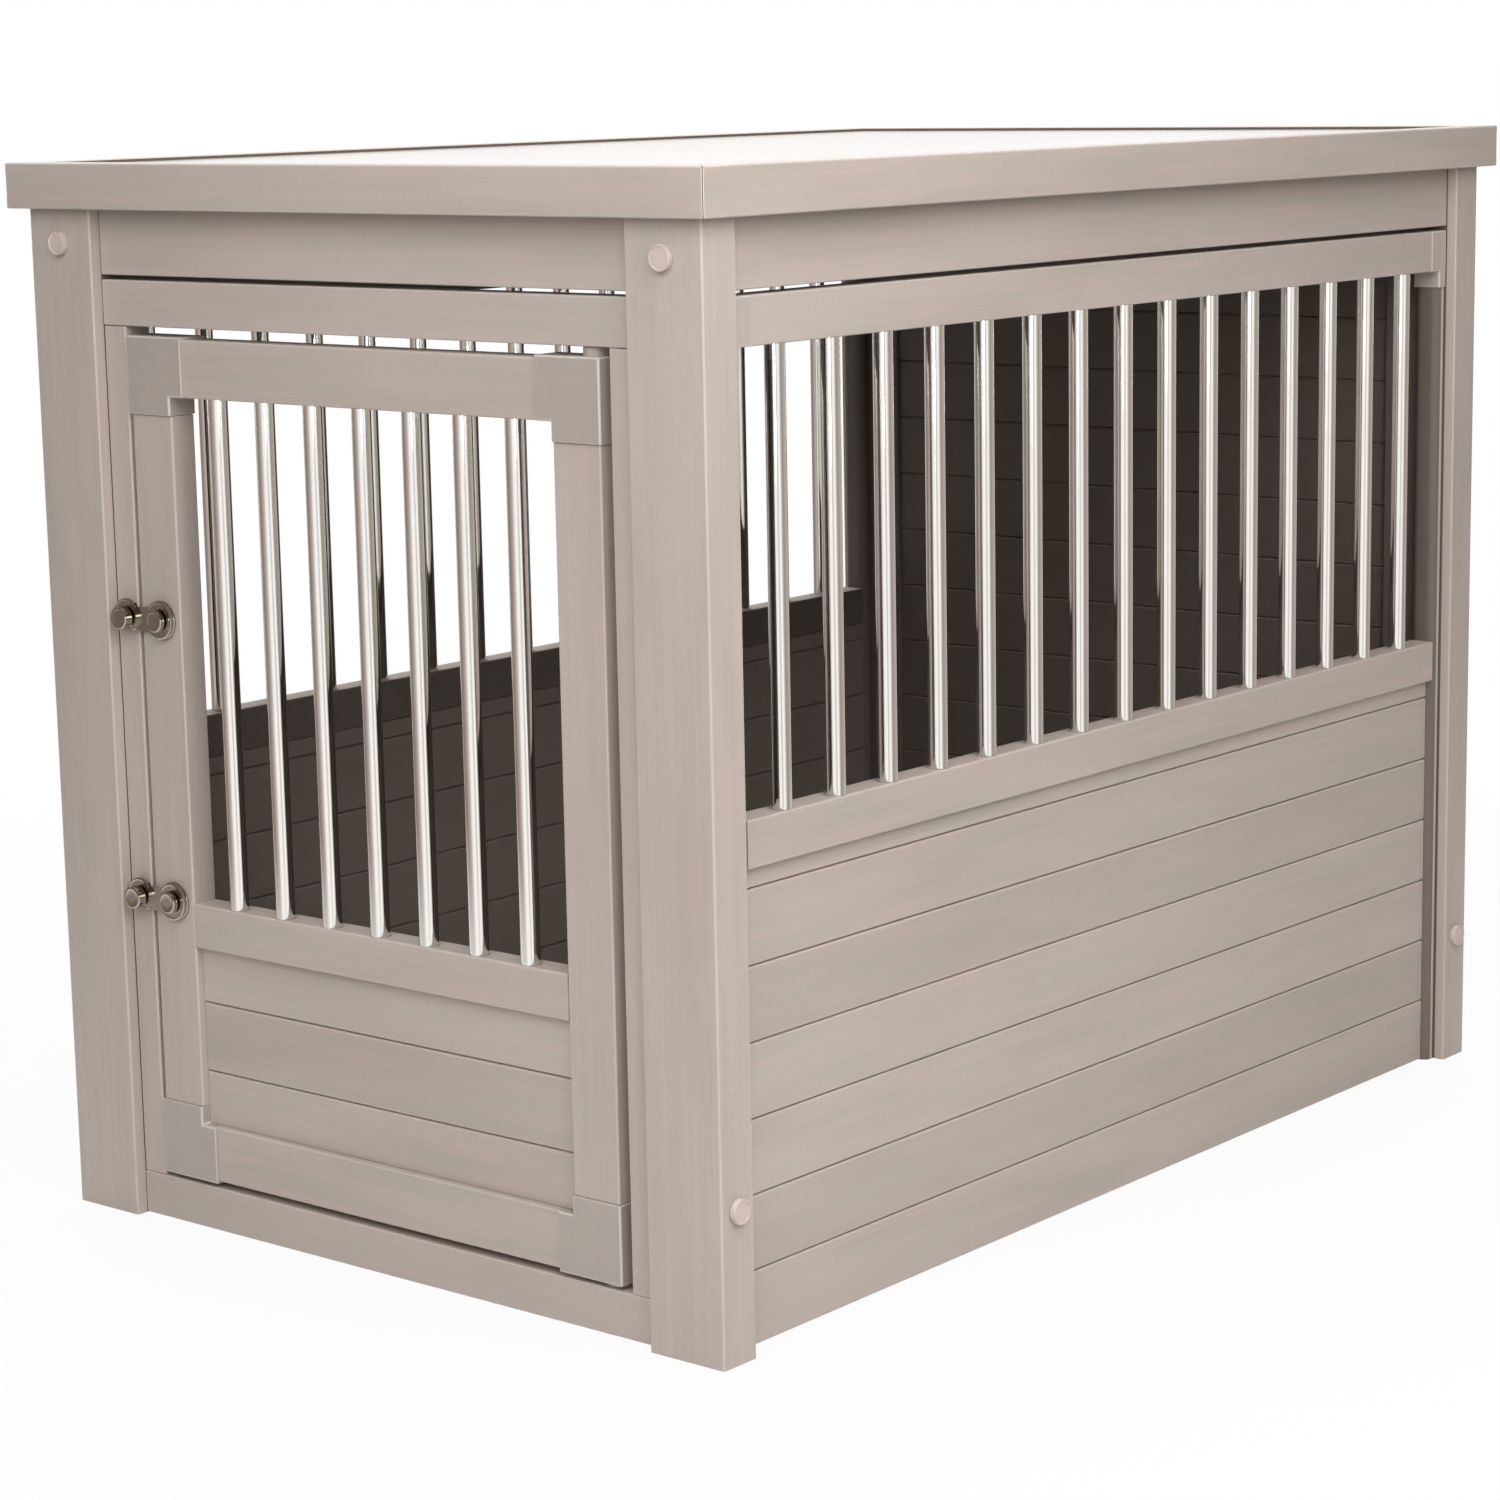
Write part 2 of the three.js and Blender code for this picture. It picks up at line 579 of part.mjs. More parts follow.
// ---- door
// A moulded elbow joins a stile and a rail. The two on the hinge side carry the pivot pins.
function elbow(sideX, sideZ) {
  const cornerX = sideX > 0 ? doorRight : doorLeft;
  const cornerZ = sideZ > 0 ? doorTop : doorBottom;
  const place = (a, b) => [cornerX - sideX * a, cornerZ - sideZ * b];
  const section = outline([
    place(0, 0), place(elbowArm, 0), place(elbowArm, elbowWidth),
    place(elbowWidth, elbowWidth), place(elbowWidth, elbowArm), place(0, elbowArm),
  ]);
  const y = [-endFace - ELBOW_PROUD, -endInner + ELBOW_PROUD];
  const hollow = BOARD_WALL + FIT;
  const spigotY = inset([-endFace, -endInner], hollow);
  const alongArm = [elbowArm - CUT, elbowArm + SPIGOT_LENGTH];
  const acrossArm = [ELBOW_PROUD + hollow, elbowWidth - hollow];
  const spigot = ([a0, a1], [b0, b1]) => {
    const [x0, z0] = place(a0, b0);
    const [x1, z1] = place(a1, b1);
    return block([Math.min(x0, x1), Math.max(x0, x1)], spigotY, [Math.min(z0, z1), Math.max(z0, z1)]);
  };
  return bar("y", y, section).add(spigot(alongArm, acrossArm)).add(spigot(acrossArm, alongArm));
}

function pivotPin(sideZ) {
  const [face, bearing] = sideZ > 0 ? [doorTop, railBottom] : [doorBottom, sillTop];
  const rising = (from, to) => [Math.min(from, to), Math.max(from, to)];
  const boss = rising(face - sideZ * CUT, bearing - sideZ * FIT);
  const pin = rising(face - sideZ * CUT, bearing + sideZ * PIVOT_PIN_LENGTH);
  const at = [pivotX, pivotY];
  return rod("z", boss, PIVOT_BOSS_DIAMETER / 2, at).add(rod("z", pin, PIVOT_PIN_DIAMETER / 2, at));
}

function doorTubePlaces() {
  const ends = [doorBayLeft + DOOR_TUBE_END_GAP, doorBayRight - DOOR_TUBE_END_GAP];
  return spreadCount(ends, DOOR_TUBE_COUNT).map((x) => [x, -endFace + tubeSetback]);
}

function addDoorBoards() {
  const y = [-endFace, -endInner];
  const railLength = [doorLeft + elbowArm + FIT, doorRight - elbowArm - FIT];
  const stileHeight = [doorBottom + elbowArm + FIT, doorTop - elbowArm - FIT];
  const midLength = [doorBayLeft + FIT, doorBayRight - FIT];
  const places = doorTubePlaces();
  const foot = doorMidRailBottom + BOARD_WALL + 2 * FIT;
  const head = doorBayTop + BOARD_WALL + TUBE_HEAD_SEAT;
  const topHoles = tubeHoles(places, [doorBayTop - CUT, head + FIT]);
  const midHoles = tubeHoles(places, [foot - FIT, DOOR_MID_RAIL_TOP + CUT]);
  const topRail = board("x", railLength, y, [doorBayTop, doorTop - ELBOW_PROUD]);
  const midRail = board("x", midLength, y, [doorMidRailBottom, DOOR_MID_RAIL_TOP]);
  const bottomRail = board("x", railLength, y, [doorBottom + ELBOW_PROUD, doorBayBottom]);
  addToDoor("door_rail_top", topRail.subtract(topHoles), boards);
  addToDoor("door_rail_mid", midRail.subtract(midHoles), boards);
  addToDoor("door_rail_bottom", bottomRail, boards);

  const latchStile = board("z", stileHeight, [doorLeft + ELBOW_PROUD, doorBayLeft], y);
  const hingeStile = board("z", stileHeight, [doorBayRight, doorRight - ELBOW_PROUD], y);
  addToDoor("door_stile_latch_side", drillForStuds(latchStile, hookPivotX), boards);
  addToDoor("door_stile_hinge_side", hingeStile, boards);

  places.forEach((at, i) => {
    addToDoor(`door_tube_${i + 1}`, tube(at, [foot, head]), stainless);
  });
}

function addDoorSlats() {
  const height = [doorBayBottom + FIT, doorMidRailBottom - FIT];
  const face = -endFace + SLAT_RECESS;
  const seams = [];
  for (let z = doorMidRailBottom - DOOR_TOP_SLAT; z > height[0] + SEAM_HEIGHT; z -= SLAT_PITCH) {
    seams.unshift(z);
  }
  const section = slatSection(face, face + SLAT_THICKNESS, height, seams);
  addToDoor("door_slats", bar("x", [doorBayLeft + FIT, doorBayRight - FIT], section), boards);
}

function addDoor() {
  addDoorBoards();
  addDoorSlats();
  addToDoor("door_elbow_top_left", elbow(-1, 1), mouldings);
  addToDoor("door_elbow_bottom_left", elbow(-1, -1), mouldings);
  addToDoor("door_elbow_top_right", elbow(1, 1).add(pivotPin(1)), mouldings);
  addToDoor("door_elbow_bottom_right", elbow(1, -1).add(pivotPin(-1)), mouldings);
}

// ---- latches: a hook turns on a stud on the door and drops over a keeper stud on the frame
// Heights above the frame's face run towards -Y.
function outwards(from, to) {
  return [-to, -from];
}

function stud(washerDiameter, headHeight) {
  const headTop = headBack + headHeight;
  const shank = outwards(-STUD_SHANK_LENGTH, STUD_WASHER_THICKNESS / 2);
  const neck = outwards(STUD_WASHER_THICKNESS / 2, headBack + headHeight / 2);
  return rod("y", outwards(FIT, STUD_WASHER_THICKNESS), washerDiameter / 2)
    .add(rod("y", shank, STUD_SHANK_DIAMETER / 2, [0, 0], TUBE_SIDES))
    .add(rod("y", neck, STUD_NECK_DIAMETER / 2))
    .add(rod("y", outwards(headBack, headTop), STUD_HEAD_DIAMETER / 2))
    .subtract(rod("y", outwards(headTop - STUD_CUP_DEPTH, headTop + CUT), STUD_CUP_DIAMETER / 2));
}

// The hook is drawn round its own pivot. Its mouth opens downwards under the keeper, and the
// lobe round the keeper is cut off below.
function hook() {
  const reach = hookPivotX - keeperX;
  const half = HOOK_LOBE_RADIUS - HOOK_SHOULDER;
  const grip = STUD_NECK_DIAMETER / 2 + FIT;
  const thickness = outwards(hookBack, hookBack + HOOK_THICKNESS);
  const past = inset(thickness, -CUT);
  const underKeeper = [-HOOK_LOBE_RADIUS - CUT, -HOOK_LIP];
  const mouth = outline([
    [-reach - grip, 0], [-reach - grip, -HOOK_LOBE_RADIUS - CUT],
    [-reach + grip + HOOK_FLARE, -HOOK_LOBE_RADIUS - CUT], [-reach + grip + HOOK_FLARE, -half],
    [-reach + grip, 0],
  ]);
  const underArm = [-HOOK_LOBE_RADIUS - CUT, -half];
  return rod("y", thickness, HOOK_LOBE_RADIUS, [-reach, 0])
    .subtract(block([-reach - HOOK_LOBE_RADIUS - CUT, -reach], past, underKeeper))
    .subtract(block([-reach - CUT, -reach + HOOK_LOBE_RADIUS + CUT], past, underArm))
    .add(block([-reach, 0], thickness, [-half, half]))
    .add(rod("y", thickness, HOOK_LOBE_RADIUS))
    .subtract(rod("y", past, grip, [-reach, 0]))
    .subtract(bar("y", past, mouth))
    .subtract(rod("y", past, grip));
}

function addLatches() {
  for (const [name, z] of Object.entries(latchHeights)) {
    const onDoor = [hookPivotX - pivotX, -endFace - pivotY, z];
    const onFrame = [keeperX, -endFace, z];
    add(table, `latch_keeper_${name}`, stud(KEEPER_WASHER_DIAMETER, KEEPER_HEAD_HEIGHT), nickel, onFrame);
    add(door, `latch_stud_${name}`, stud(PIVOT_WASHER_DIAMETER, PIVOT_HEAD_HEIGHT), nickel, onDoor);
    add(door, `latch_hook_${name}`, hook(), nickel, onDoor);
  }
}

addTop();
addPosts();
addAprons();
addSide("left", SIDES.left);
addSide("right", SIDES.right);
addBackPanel();
addFloor();
addDoorway();
addDoor();
addLatches();

export default table;
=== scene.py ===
# Dog crate end table in front of a plain studio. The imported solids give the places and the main
# sizes, and each piece is modelled over its solid in the order that the table is put together.
# Sizes are in millimetres times MM, the studio's in metres. +Z is up, the door end is at -Y.
import json
import math

import bmesh
import bpy
from mathutils import Matrix, Vector


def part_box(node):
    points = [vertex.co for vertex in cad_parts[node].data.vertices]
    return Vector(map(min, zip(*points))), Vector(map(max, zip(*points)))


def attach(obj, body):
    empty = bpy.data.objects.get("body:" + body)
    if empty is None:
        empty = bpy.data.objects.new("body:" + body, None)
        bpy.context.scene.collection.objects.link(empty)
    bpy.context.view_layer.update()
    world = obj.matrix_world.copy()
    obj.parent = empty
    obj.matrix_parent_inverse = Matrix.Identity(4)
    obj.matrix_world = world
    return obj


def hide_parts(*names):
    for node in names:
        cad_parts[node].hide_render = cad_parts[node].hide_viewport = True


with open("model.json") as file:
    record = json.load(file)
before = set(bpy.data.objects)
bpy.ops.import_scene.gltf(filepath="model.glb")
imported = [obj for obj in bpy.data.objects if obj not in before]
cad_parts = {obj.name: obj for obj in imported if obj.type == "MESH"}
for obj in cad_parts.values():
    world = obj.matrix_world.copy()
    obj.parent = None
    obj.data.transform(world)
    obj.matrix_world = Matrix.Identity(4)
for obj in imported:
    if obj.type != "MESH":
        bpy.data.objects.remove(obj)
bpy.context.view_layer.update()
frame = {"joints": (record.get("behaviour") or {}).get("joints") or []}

bpy.context.scene.view_settings.view_transform = "Standard"

# ---- camera
# A long lens a little above the top of the table, looking at the corner between the door end
# and the right long side.
CAMERA_PLACE = (1.5818, -1.9722, 0.7334)
CAMERA_PAN, CAMERA_TILT, CAMERA_ROLL = 39.608, -10.463, -1.066
bpy.ops.object.select_all(action="DESELECT")
bpy.ops.object.camera_add()
camera = bpy.context.object
camera.name = "camera"
camera.matrix_world = (
    Matrix.Translation(CAMERA_PLACE)
    @ Matrix.Rotation(math.radians(CAMERA_PAN), 4, "Z")
    @ Matrix.Rotation(math.radians(90 + CAMERA_TILT), 4, "X")
    @ Matrix.Rotation(math.radians(CAMERA_ROLL), 4, "Z")
)
camera.data.sensor_fit = "HORIZONTAL"
camera.data.sensor_width = 36
camera.data.lens = 89.31
bpy.context.scene.camera = camera

# ---- studio
# A white room, with soft boxes round the corner that faces the camera, one over the top, and two
# strong ones for the back and the left side. Camera rays see plain white. Mirror rays see white,
# grey and taupe walls, placed by what the top and the tubes mirror in the photograph.
def linear(hex_colour):
    """An sRGB hex colour as linear red, green, blue and alpha."""
    parts = [int(hex_colour[i : i + 2], 16) / 255 for i in (1, 3, 5)]
    return (*[p / 12.92 if p <= 0.04045 else ((p + 0.055) / 1.055) ** 2.4 for p in parts], 1.0)


def add_node(tree, kind, inputs=None, **settings):
    """A node with its settings. Each input is a value, the output that it is linked to, or the
    node whose first output it is linked to."""
    made = tree.nodes.new(kind)
    for name, value in settings.items():
        setattr(made, name, value)
    for socket, value in (inputs or {}).items():
        if isinstance(value, bpy.types.Node):
            value = value.outputs[0]
        if isinstance(value, bpy.types.NodeSocket):
            tree.links.new(value, made.inputs[socket])
        else:
            made.inputs[socket].default_value = value
    return made


WHITE = linear("#ffffff")
room = bpy.data.worlds.new("white_room")
room.use_nodes = True
tree = room.node_tree
tree.nodes.clear()
ray = add_node(tree, "ShaderNodeLightPath")
seen = add_node(tree, "ShaderNodeMath", {
    0: ray.outputs["Is Camera Ray"], 1: ray.outputs["Is Transmission Ray"]}, operation="MAXIMUM")
direction = add_node(tree, "ShaderNodeTexCoord").outputs["Generated"]
# What bright surfaces mirror, by compass direction in degrees from +X: white beyond the table and
# round the camera, with a grey band in the middle of it, and taupe cards to the right and left.
# Above the table only the wall beyond it is white; the rest of the room is taupe and darker.
WALLS = (
    (-180, "#948a80"), (-152, "#8c8077"), (-136, "#988b83"), (-108, "#bbada7"), (-96, "#cdc3bc"),
    (-84, "#eee7df"), (-76, "#ffffff"), (-50, "#ffffff"), (-45, "#d9d8d5"), (-33, "#d6d5d1"),
    (-27, "#ffffff"), (-10, "#ffffff"), (-1, "#d6d1ca"), (12, "#aaa29a"), (26, "#9e968c"),
    (58, "#bdb1a7"), (80, "#ac9f97"), (94, "#ffffff"), (150, "#ffffff"), (162, "#a0968e"),
    (180, "#948a80"),
)
ABOVE = (
    (-180, "#8f857c"), (-90, "#857c74"), (0, "#857c74"), (84, "#8f857c"), (100, "#ffffff"),
    (156, "#ffffff"), (170, "#8f857c"), (180, "#8f857c"),
)


def round_the_compass(tree, turn, colours):
    """A colour ramp laid round the horizon, from -180 degrees to 180."""
    made = add_node(tree, "ShaderNodeValToRGB", {0: turn})
    stops = made.color_ramp.elements
    first, *between, last = colours
    stops[0].color, stops[1].color = linear(first[1]), linear(last[1])
    for degrees, colour in between:
        stops.new((degrees + 180) / 360).color = linear(colour)
    return made.outputs[0]


apart = add_node(tree, "ShaderNodeSeparateXYZ", {0: direction})
compass = add_node(tree, "ShaderNodeMath", {
    0: apart.outputs["Y"], 1: apart.outputs["X"]}, operation="ARCTAN2")
turn = add_node(tree, "ShaderNodeMapRange", {
    "Value": compass, "From Min": -math.pi, "From Max": math.pi})
height = add_node(tree, "ShaderNodeMapRange", {
    "Value": apart.outputs["Z"], "From Min": 0.0, "From Max": 0.09})
walls = add_node(tree, "ShaderNodeMix", {
    0: height, 6: round_the_compass(tree, turn, WALLS), 7: round_the_compass(tree, turn, ABOVE),
}, data_type="RGBA")
plain = add_node(tree, "ShaderNodeBackground", {"Color": WHITE, "Strength": 0.02})
mirrored = add_node(tree, "ShaderNodeBackground", {"Color": walls.outputs[2], "Strength": 1.0})
background = add_node(tree, "ShaderNodeBackground", {"Color": WHITE, "Strength": 1.0})
for_gloss = add_node(tree, "ShaderNodeMixShader", {
    0: ray.outputs["Is Glossy Ray"], 1: plain, 2: mirrored})
for_all = add_node(tree, "ShaderNodeMixShader", {0: seen, 1: for_gloss, 2: background})
add_node(tree, "ShaderNodeOutputWorld", {"Surface": for_all})
bpy.context.scene.world = room

SOFT_BOXES = {  # place, what it is aimed at, width, watts
    "soft_box_door_near": ((0.45, -1.5, 1.15), (0.15, -0.43, 0.35), 1.2, 6),
    "soft_box_door_far": ((0.2, -1.9, 1.5), (0.0, -0.43, 0.35), 1.4, 12.5),
    "soft_box_side_near": ((1.25, -0.75, 1.25), (0.28, -0.38, 0.35), 1.2, 15),
    "soft_box_side_far": ((1.6, -0.3, 1.5), (0.28, -0.15, 0.35), 1.4, 9.5),
    "soft_box_top": ((0.1, 0.2, 2.5), (0.0, 0.0, 0.68), 2.0, 22),
    "soft_box_back": ((-0.3, 2.3, 1.9), (-0.05, 0.42, 0.35), 1.6, 36),
    "soft_box_left": ((-2.1, 0.5, 2.0), (-0.28, 0.05, 0.35), 1.6, 34),
    "catch_light": ((1.1, -1.5, 0.52), (-0.2, -0.43, 0.4), 0.3, 2.4),
}
for name, (place, aim, width, watts) in SOFT_BOXES.items():
    bpy.ops.object.light_add(type="AREA", location=place)
    lamp = bpy.context.object
    lamp.name = name
    lamp.rotation_euler = (Vector(aim) - Vector(place)).to_track_quat("-Z", "Y").to_euler()
    lamp.data.shape = "SQUARE"
    lamp.data.size = width
    lamp.data.energy = watts
    # The low boxes aren't mirrored, so that none blots out the glossy top from behind. The small
    # catch light stands below the level of the top and only puts a glint on the latches.
    lamp.visible_glossy = name in ("soft_box_top", "catch_light")


def start_finish(name):
    """A new material, its nodes, and the place on the piece that its patterns follow."""
    made = bpy.data.materials.new(name)
    made.use_nodes = True
    made.node_tree.nodes.clear()
    return made, made.node_tree, add_node(made.node_tree, "ShaderNodeTexCoord").outputs["Object"]


# Rolled paper: quite matt, and it ends in a soft edge so that no horizon shows.
PAPER_RADIUS = 2.2
PAPER_FADE = (0.85, 1.6)
PAPER_WHITENESS = 0.92
bpy.ops.mesh.primitive_circle_add(vertices=96, radius=PAPER_RADIUS, fill_type="NGON")
floor = bpy.context.object
floor.name = "studio_floor"
paper, tree, place = start_finish("matt_white_paper")
away = add_node(tree, "ShaderNodeVectorMath", {0: place}, operation="LENGTH")
edge = add_node(tree, "ShaderNodeMapRange", {
    "Value": away.outputs["Value"], "From Min": PAPER_FADE[0], "From Max": PAPER_FADE[1]})
lit = add_node(tree, "ShaderNodeBsdfDiffuse", {"Color": linear("#d6d6d6")})
white = add_node(tree, "ShaderNodeEmission", {"Color": WHITE, "Strength": 1.0})
ray = add_node(tree, "ShaderNodeLightPath")
either = add_node(tree, "ShaderNodeMath", {
    0: ray.outputs["Is Camera Ray"], 1: ray.outputs["Is Glossy Ray"]}, operation="MAXIMUM")
share = add_node(tree, "ShaderNodeMath", {0: either, 1: PAPER_WHITENESS},
                 operation="MULTIPLY")
sheet = add_node(tree, "ShaderNodeMixShader", {0: share, 1: lit, 2: white})
gone = add_node(tree, "ShaderNodeBsdfTransparent")
faded = add_node(tree, "ShaderNodeMixShader", {0: edge, 1: sheet, 2: gone})
add_node(tree, "ShaderNodeOutputMaterial", {"Surface": faded})
floor.data.materials.append(paper)

# ---- posts
# Four upright boards of wood and plastic composite, extruded hollow and cut to length. Their long
# edges are rounded, their cut feet only eased. They carry the top and every panel.
MM = 0.001
X, Y, Z = 0, 1, 2
TAUPE_PINK = "#c2b0a8"
TAUPE_GREY = "#b7aea3"
TAUPE_DARK = "#a3988f"
TAUPE_LIGHT = "#cbc0b9"
FIBRE_WHITE = "#e2dcd5"
# How far the painted shade pulls a colour towards its dark taupe.
PAINTED_SHADE_SHARE = 0.85
GRAIN = {  # width across and length along the board in millimetres, detail, strength
    "tint": (9.0, 120, 3.0, 1.0),
    "streak": (1.8, 170, 3.0, 0.17),
    "cloud": (38, 190, 2.0, 0.30),
    "grit": (0.8, 2.6, 2.0, 0.16),
}


def composite(name, along, wear_and_highlight=0.0, slat_pitch=None, slat_from=0.0, slat_axis=Z, satin=0.0,
              painted_shade=None, coat=0.0):
    """Matt wood-plastic composite, extruded along one axis: soft lengthwise streaks of pinkish and
    greyish taupe, a little grit, and a few white fibre specks that broke the skin. Edges can be
    paled towards fibre white, partly as rubbed wear and partly as a painted highlight."""
    made, tree, place = start_finish(name)
    grain = {}
    for number, (layer, (width, length, detail, strength)) in enumerate(GRAIN.items()):
        size = [1 / (width * MM)] * 3
        size[along] = 1 / (length * MM)
        turned = add_node(tree, "ShaderNodeMapping", {
            "Vector": place, "Scale": size, "Location": (number * 7.3, number * 3.1, number * 5.7)})
        noise = add_node(tree, "ShaderNodeTexNoise", {
            "Vector": turned, "Scale": 1.0, "Detail": detail})
        grain[layer] = add_node(tree, "ShaderNodeMapRange", {
            "Value": noise, "From Min": 0.36, "From Max": 0.64, "To Max": strength})
    colour = linear(TAUPE_PINK)
    for layer, other in (("tint", TAUPE_GREY), ("streak", TAUPE_DARK), ("cloud", TAUPE_LIGHT),
                         ("grit", TAUPE_DARK)):
        colour = add_node(tree, "ShaderNodeMix", {0: grain[layer], 6: colour, 7: linear(other)},
                          data_type="RGBA").outputs[2]
    # Fibre specks: 0.6 mm to 1.2 mm across, in about one of four cells of 16 mm.
    spots = add_node(tree, "ShaderNodeTexVoronoi", {"Vector": place, "Scale": 1 / (16 * MM)})
    near = add_node(tree, "ShaderNodeMapRange", {
        "Value": spots.outputs["Distance"], "From Min": 0.018, "From Max": 0.036,
        "To Min": 1.0, "To Max": 0.0})
    chosen = add_node(tree, "ShaderNodeMath", {0: spots.outputs["Color"], 1: 0.66},
                      operation="GREATER_THAN")
    speck = add_node(tree, "ShaderNodeMath", {0: near, 1: chosen}, operation="MULTIPLY")
    colour = add_node(tree, "ShaderNodeMix", {0: speck, 6: colour, 7: linear(FIBRE_WHITE)},
                      data_type="RGBA").outputs[2]
    if slat_pitch:
        # Boards of one panel come from different lengths, and differ a little in tone.
        apart = add_node(tree, "ShaderNodeSeparateXYZ", {0: place})
        count = add_node(tree, "ShaderNodeMath", {0: apart.outputs[slat_axis], 1: slat_from},
                         operation="SUBTRACT")
        count = add_node(tree, "ShaderNodeMath", {0: count, 1: slat_pitch}, operation="DIVIDE")
        count = add_node(tree, "ShaderNodeMath", {0: count}, operation="FLOOR")
        draw = add_node(tree, "ShaderNodeTexWhiteNoise", {"W": count}, noise_dimensions="1D")
        tone = add_node(tree, "ShaderNodeMapRange", {
            "Value": draw.outputs["Value"], "To Min": 0.93, "To Max": 1.04})
        colour = add_node(tree, "ShaderNodeMix", {0: 1.0, 6: colour, 7: tone},
                          data_type="RGBA", blend_type="MULTIPLY").outputs[2]
    # painted_shade pulls the colour towards a dark taupe as painted shade; wear_and_highlight pales
    # it towards fibre white, partly rubbed wear and partly a painted highlight.
    for share, other in ((PAINTED_SHADE_SHARE, painted_shade), (wear_and_highlight, FIBRE_WHITE)):
        if share and other:
            colour = add_node(tree, "ShaderNodeMix", {0: share, 6: colour, 7: linear(other)},
                              data_type="RGBA").outputs[2]
    rough = add_node(tree, "ShaderNodeMapRange", {
        "Value": grain["streak"], "From Max": GRAIN["streak"][3],
        "To Min": 0.50 - satin, "To Max": 0.62 - satin})
    height = add_node(tree, "ShaderNodeMath", {0: grain["streak"], 1: grain["grit"]},
                      operation="ADD")
    bump = add_node(tree, "ShaderNodeBump", {
        "Height": height, "Strength": 0.5, "Distance": 0.09 * MM})
    skin = add_node(tree, "ShaderNodeBsdfPrincipled", {
        "Base Color": colour, "Roughness": rough, "IOR": 1.5, "Coat Weight": coat,
        "Coat Roughness": 0.14, "Normal": bump})
    add_node(tree, "ShaderNodeOutputMaterial", {"Surface": skin})
    return made


def pick(kind, test):
    """Selects the faces or edges of the piece in hand that pass the test, and nothing else."""
    bpy.ops.mesh.select_mode(type=kind)
    bpy.ops.mesh.select_all(action="DESELECT")
    shape = bmesh.from_edit_mesh(bpy.context.object.data)
    shape.normal_update()
    for part in shape.faces if kind == "FACE" else shape.edges:
        if test(part):
            part.select_set(True)
    shape.select_flush_mode()
    bmesh.update_edit_mesh(bpy.context.object.data)


def runs(edge, axis):
    """Whether an edge lies along an axis."""
    a, b = (corner.co for corner in edge.verts)
    return abs((b - a).normalized()[axis]) > 0.99


def on_axis(axis, length):
    """A length along one axis, as a vector."""
    return [length if i == axis else 0 for i in range(3)]


def is_at(edge, axis, place):
    """Whether both ends of an edge lie at a place on an axis."""
    return all(abs(corner.co[axis] - place) < 0.1 * MM for corner in edge.verts)


def saw(place, facing, off=False):
    """Scores the piece in hand along a plane, or saws off what lies beyond it."""
    bpy.ops.mesh.select_all(action="SELECT")
    bpy.ops.mesh.bisect(plane_co=place, plane_no=facing, clear_outer=off, use_fill=off)


def make_ready(*materials):
    """Gives the new stock its finishes and opens it to be shaped."""
    bpy.ops.object.transform_apply(location=True, rotation=True, scale=True)
    for material in materials:
        bpy.context.object.data.materials.append(material)
    bpy.ops.object.mode_set(mode="EDIT")


def start_block(low, high, *materials):
    """A block of stock sawn to size, ready to be shaped."""
    low, high = Vector(low), Vector(high)
    bpy.ops.object.select_all(action="DESELECT")
    bpy.ops.mesh.primitive_cube_add(size=1, location=(low + high) / 2, scale=high - low)
    make_ready(*materials)


def start_board(low, high, along, face, arris, radius=1.2 * MM, eased=0.4 * MM):
    """A board with its long edges rounded and its cut ends eased."""
    start_block(low, high, face, arris)
    pick("EDGE", lambda edge: runs(edge, along))
    # The rounded long edges take the paler arris finish: partly rubbed wear, partly a painted
    # highlight.
    bpy.ops.mesh.bevel(offset=radius, segments=3, affect="EDGES", material=1)
    pick("FACE", lambda end: abs(end.normal[along]) > 0.9)
    bpy.ops.mesh.region_to_loop()
    bpy.ops.mesh.bevel(offset=eased, segments=2, affect="EDGES")


def put_down():
    """Closes the piece in hand once it is shaped, and gives it back."""
    if bpy.context.object.mode == "EDIT":
        bpy.ops.object.mode_set(mode="OBJECT")
    return bpy.context.object


def finish_piece(name, body, finish, *nodes):
    """Shades the piece in hand, names it, and fixes it on its body in place of its plain solids."""
    piece = put_down()
    piece.name = piece.data.name = name
    bpy.ops.object.shade_smooth_by_angle(angle=math.radians(32))
    even = piece.modifiers.new("even_normals", "WEIGHTED_NORMAL")
    even.keep_sharp = True
    bpy.ops.object.modifier_apply(modifier=even.name)
    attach(piece, body)
    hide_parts(*nodes)


# The walls of the crate lie farther out than this on either side.
WALLS_FROM = ((X, 200 * MM), (Y, 380 * MM))


def painted_shade_inside(inside, within=(1.0, 1.0)):
    """Gives the faces of the piece in hand that look into the crate a darker material as painted
    shade. Faces farther out than the two half widths given stay as they are."""
    def looks_in(face):
        centre = face.calc_center_median()
        return (abs(centre.x) < within[0] and abs(centre.y) < within[1]
                and any(abs(centre[axis]) > far and face.normal[axis] * centre[axis] < -0.3 * far
                        for axis, far in WALLS_FROM))

    bpy.context.object.data.materials.append(inside)
    pick("FACE", looks_in)
    bpy.context.object.active_material_index = len(bpy.context.object.data.materials) - 1
    bpy.ops.object.material_slot_assign()


# Painted shade: a dark taupe on every face that looks into the crate, standing in for the shade
# inside it.
INSIDE_PAINTED_SHADE = "#574e47"
upright = composite("composite_upright", Z)
upright_painted_shade = composite("composite_upright_inside", Z, painted_shade=INSIDE_PAINTED_SHADE)
# The arris finish is paler: partly rubbed wear, partly a painted highlight.
upright_arris = composite("composite_upright_arris", Z, wear_and_highlight=0.14)
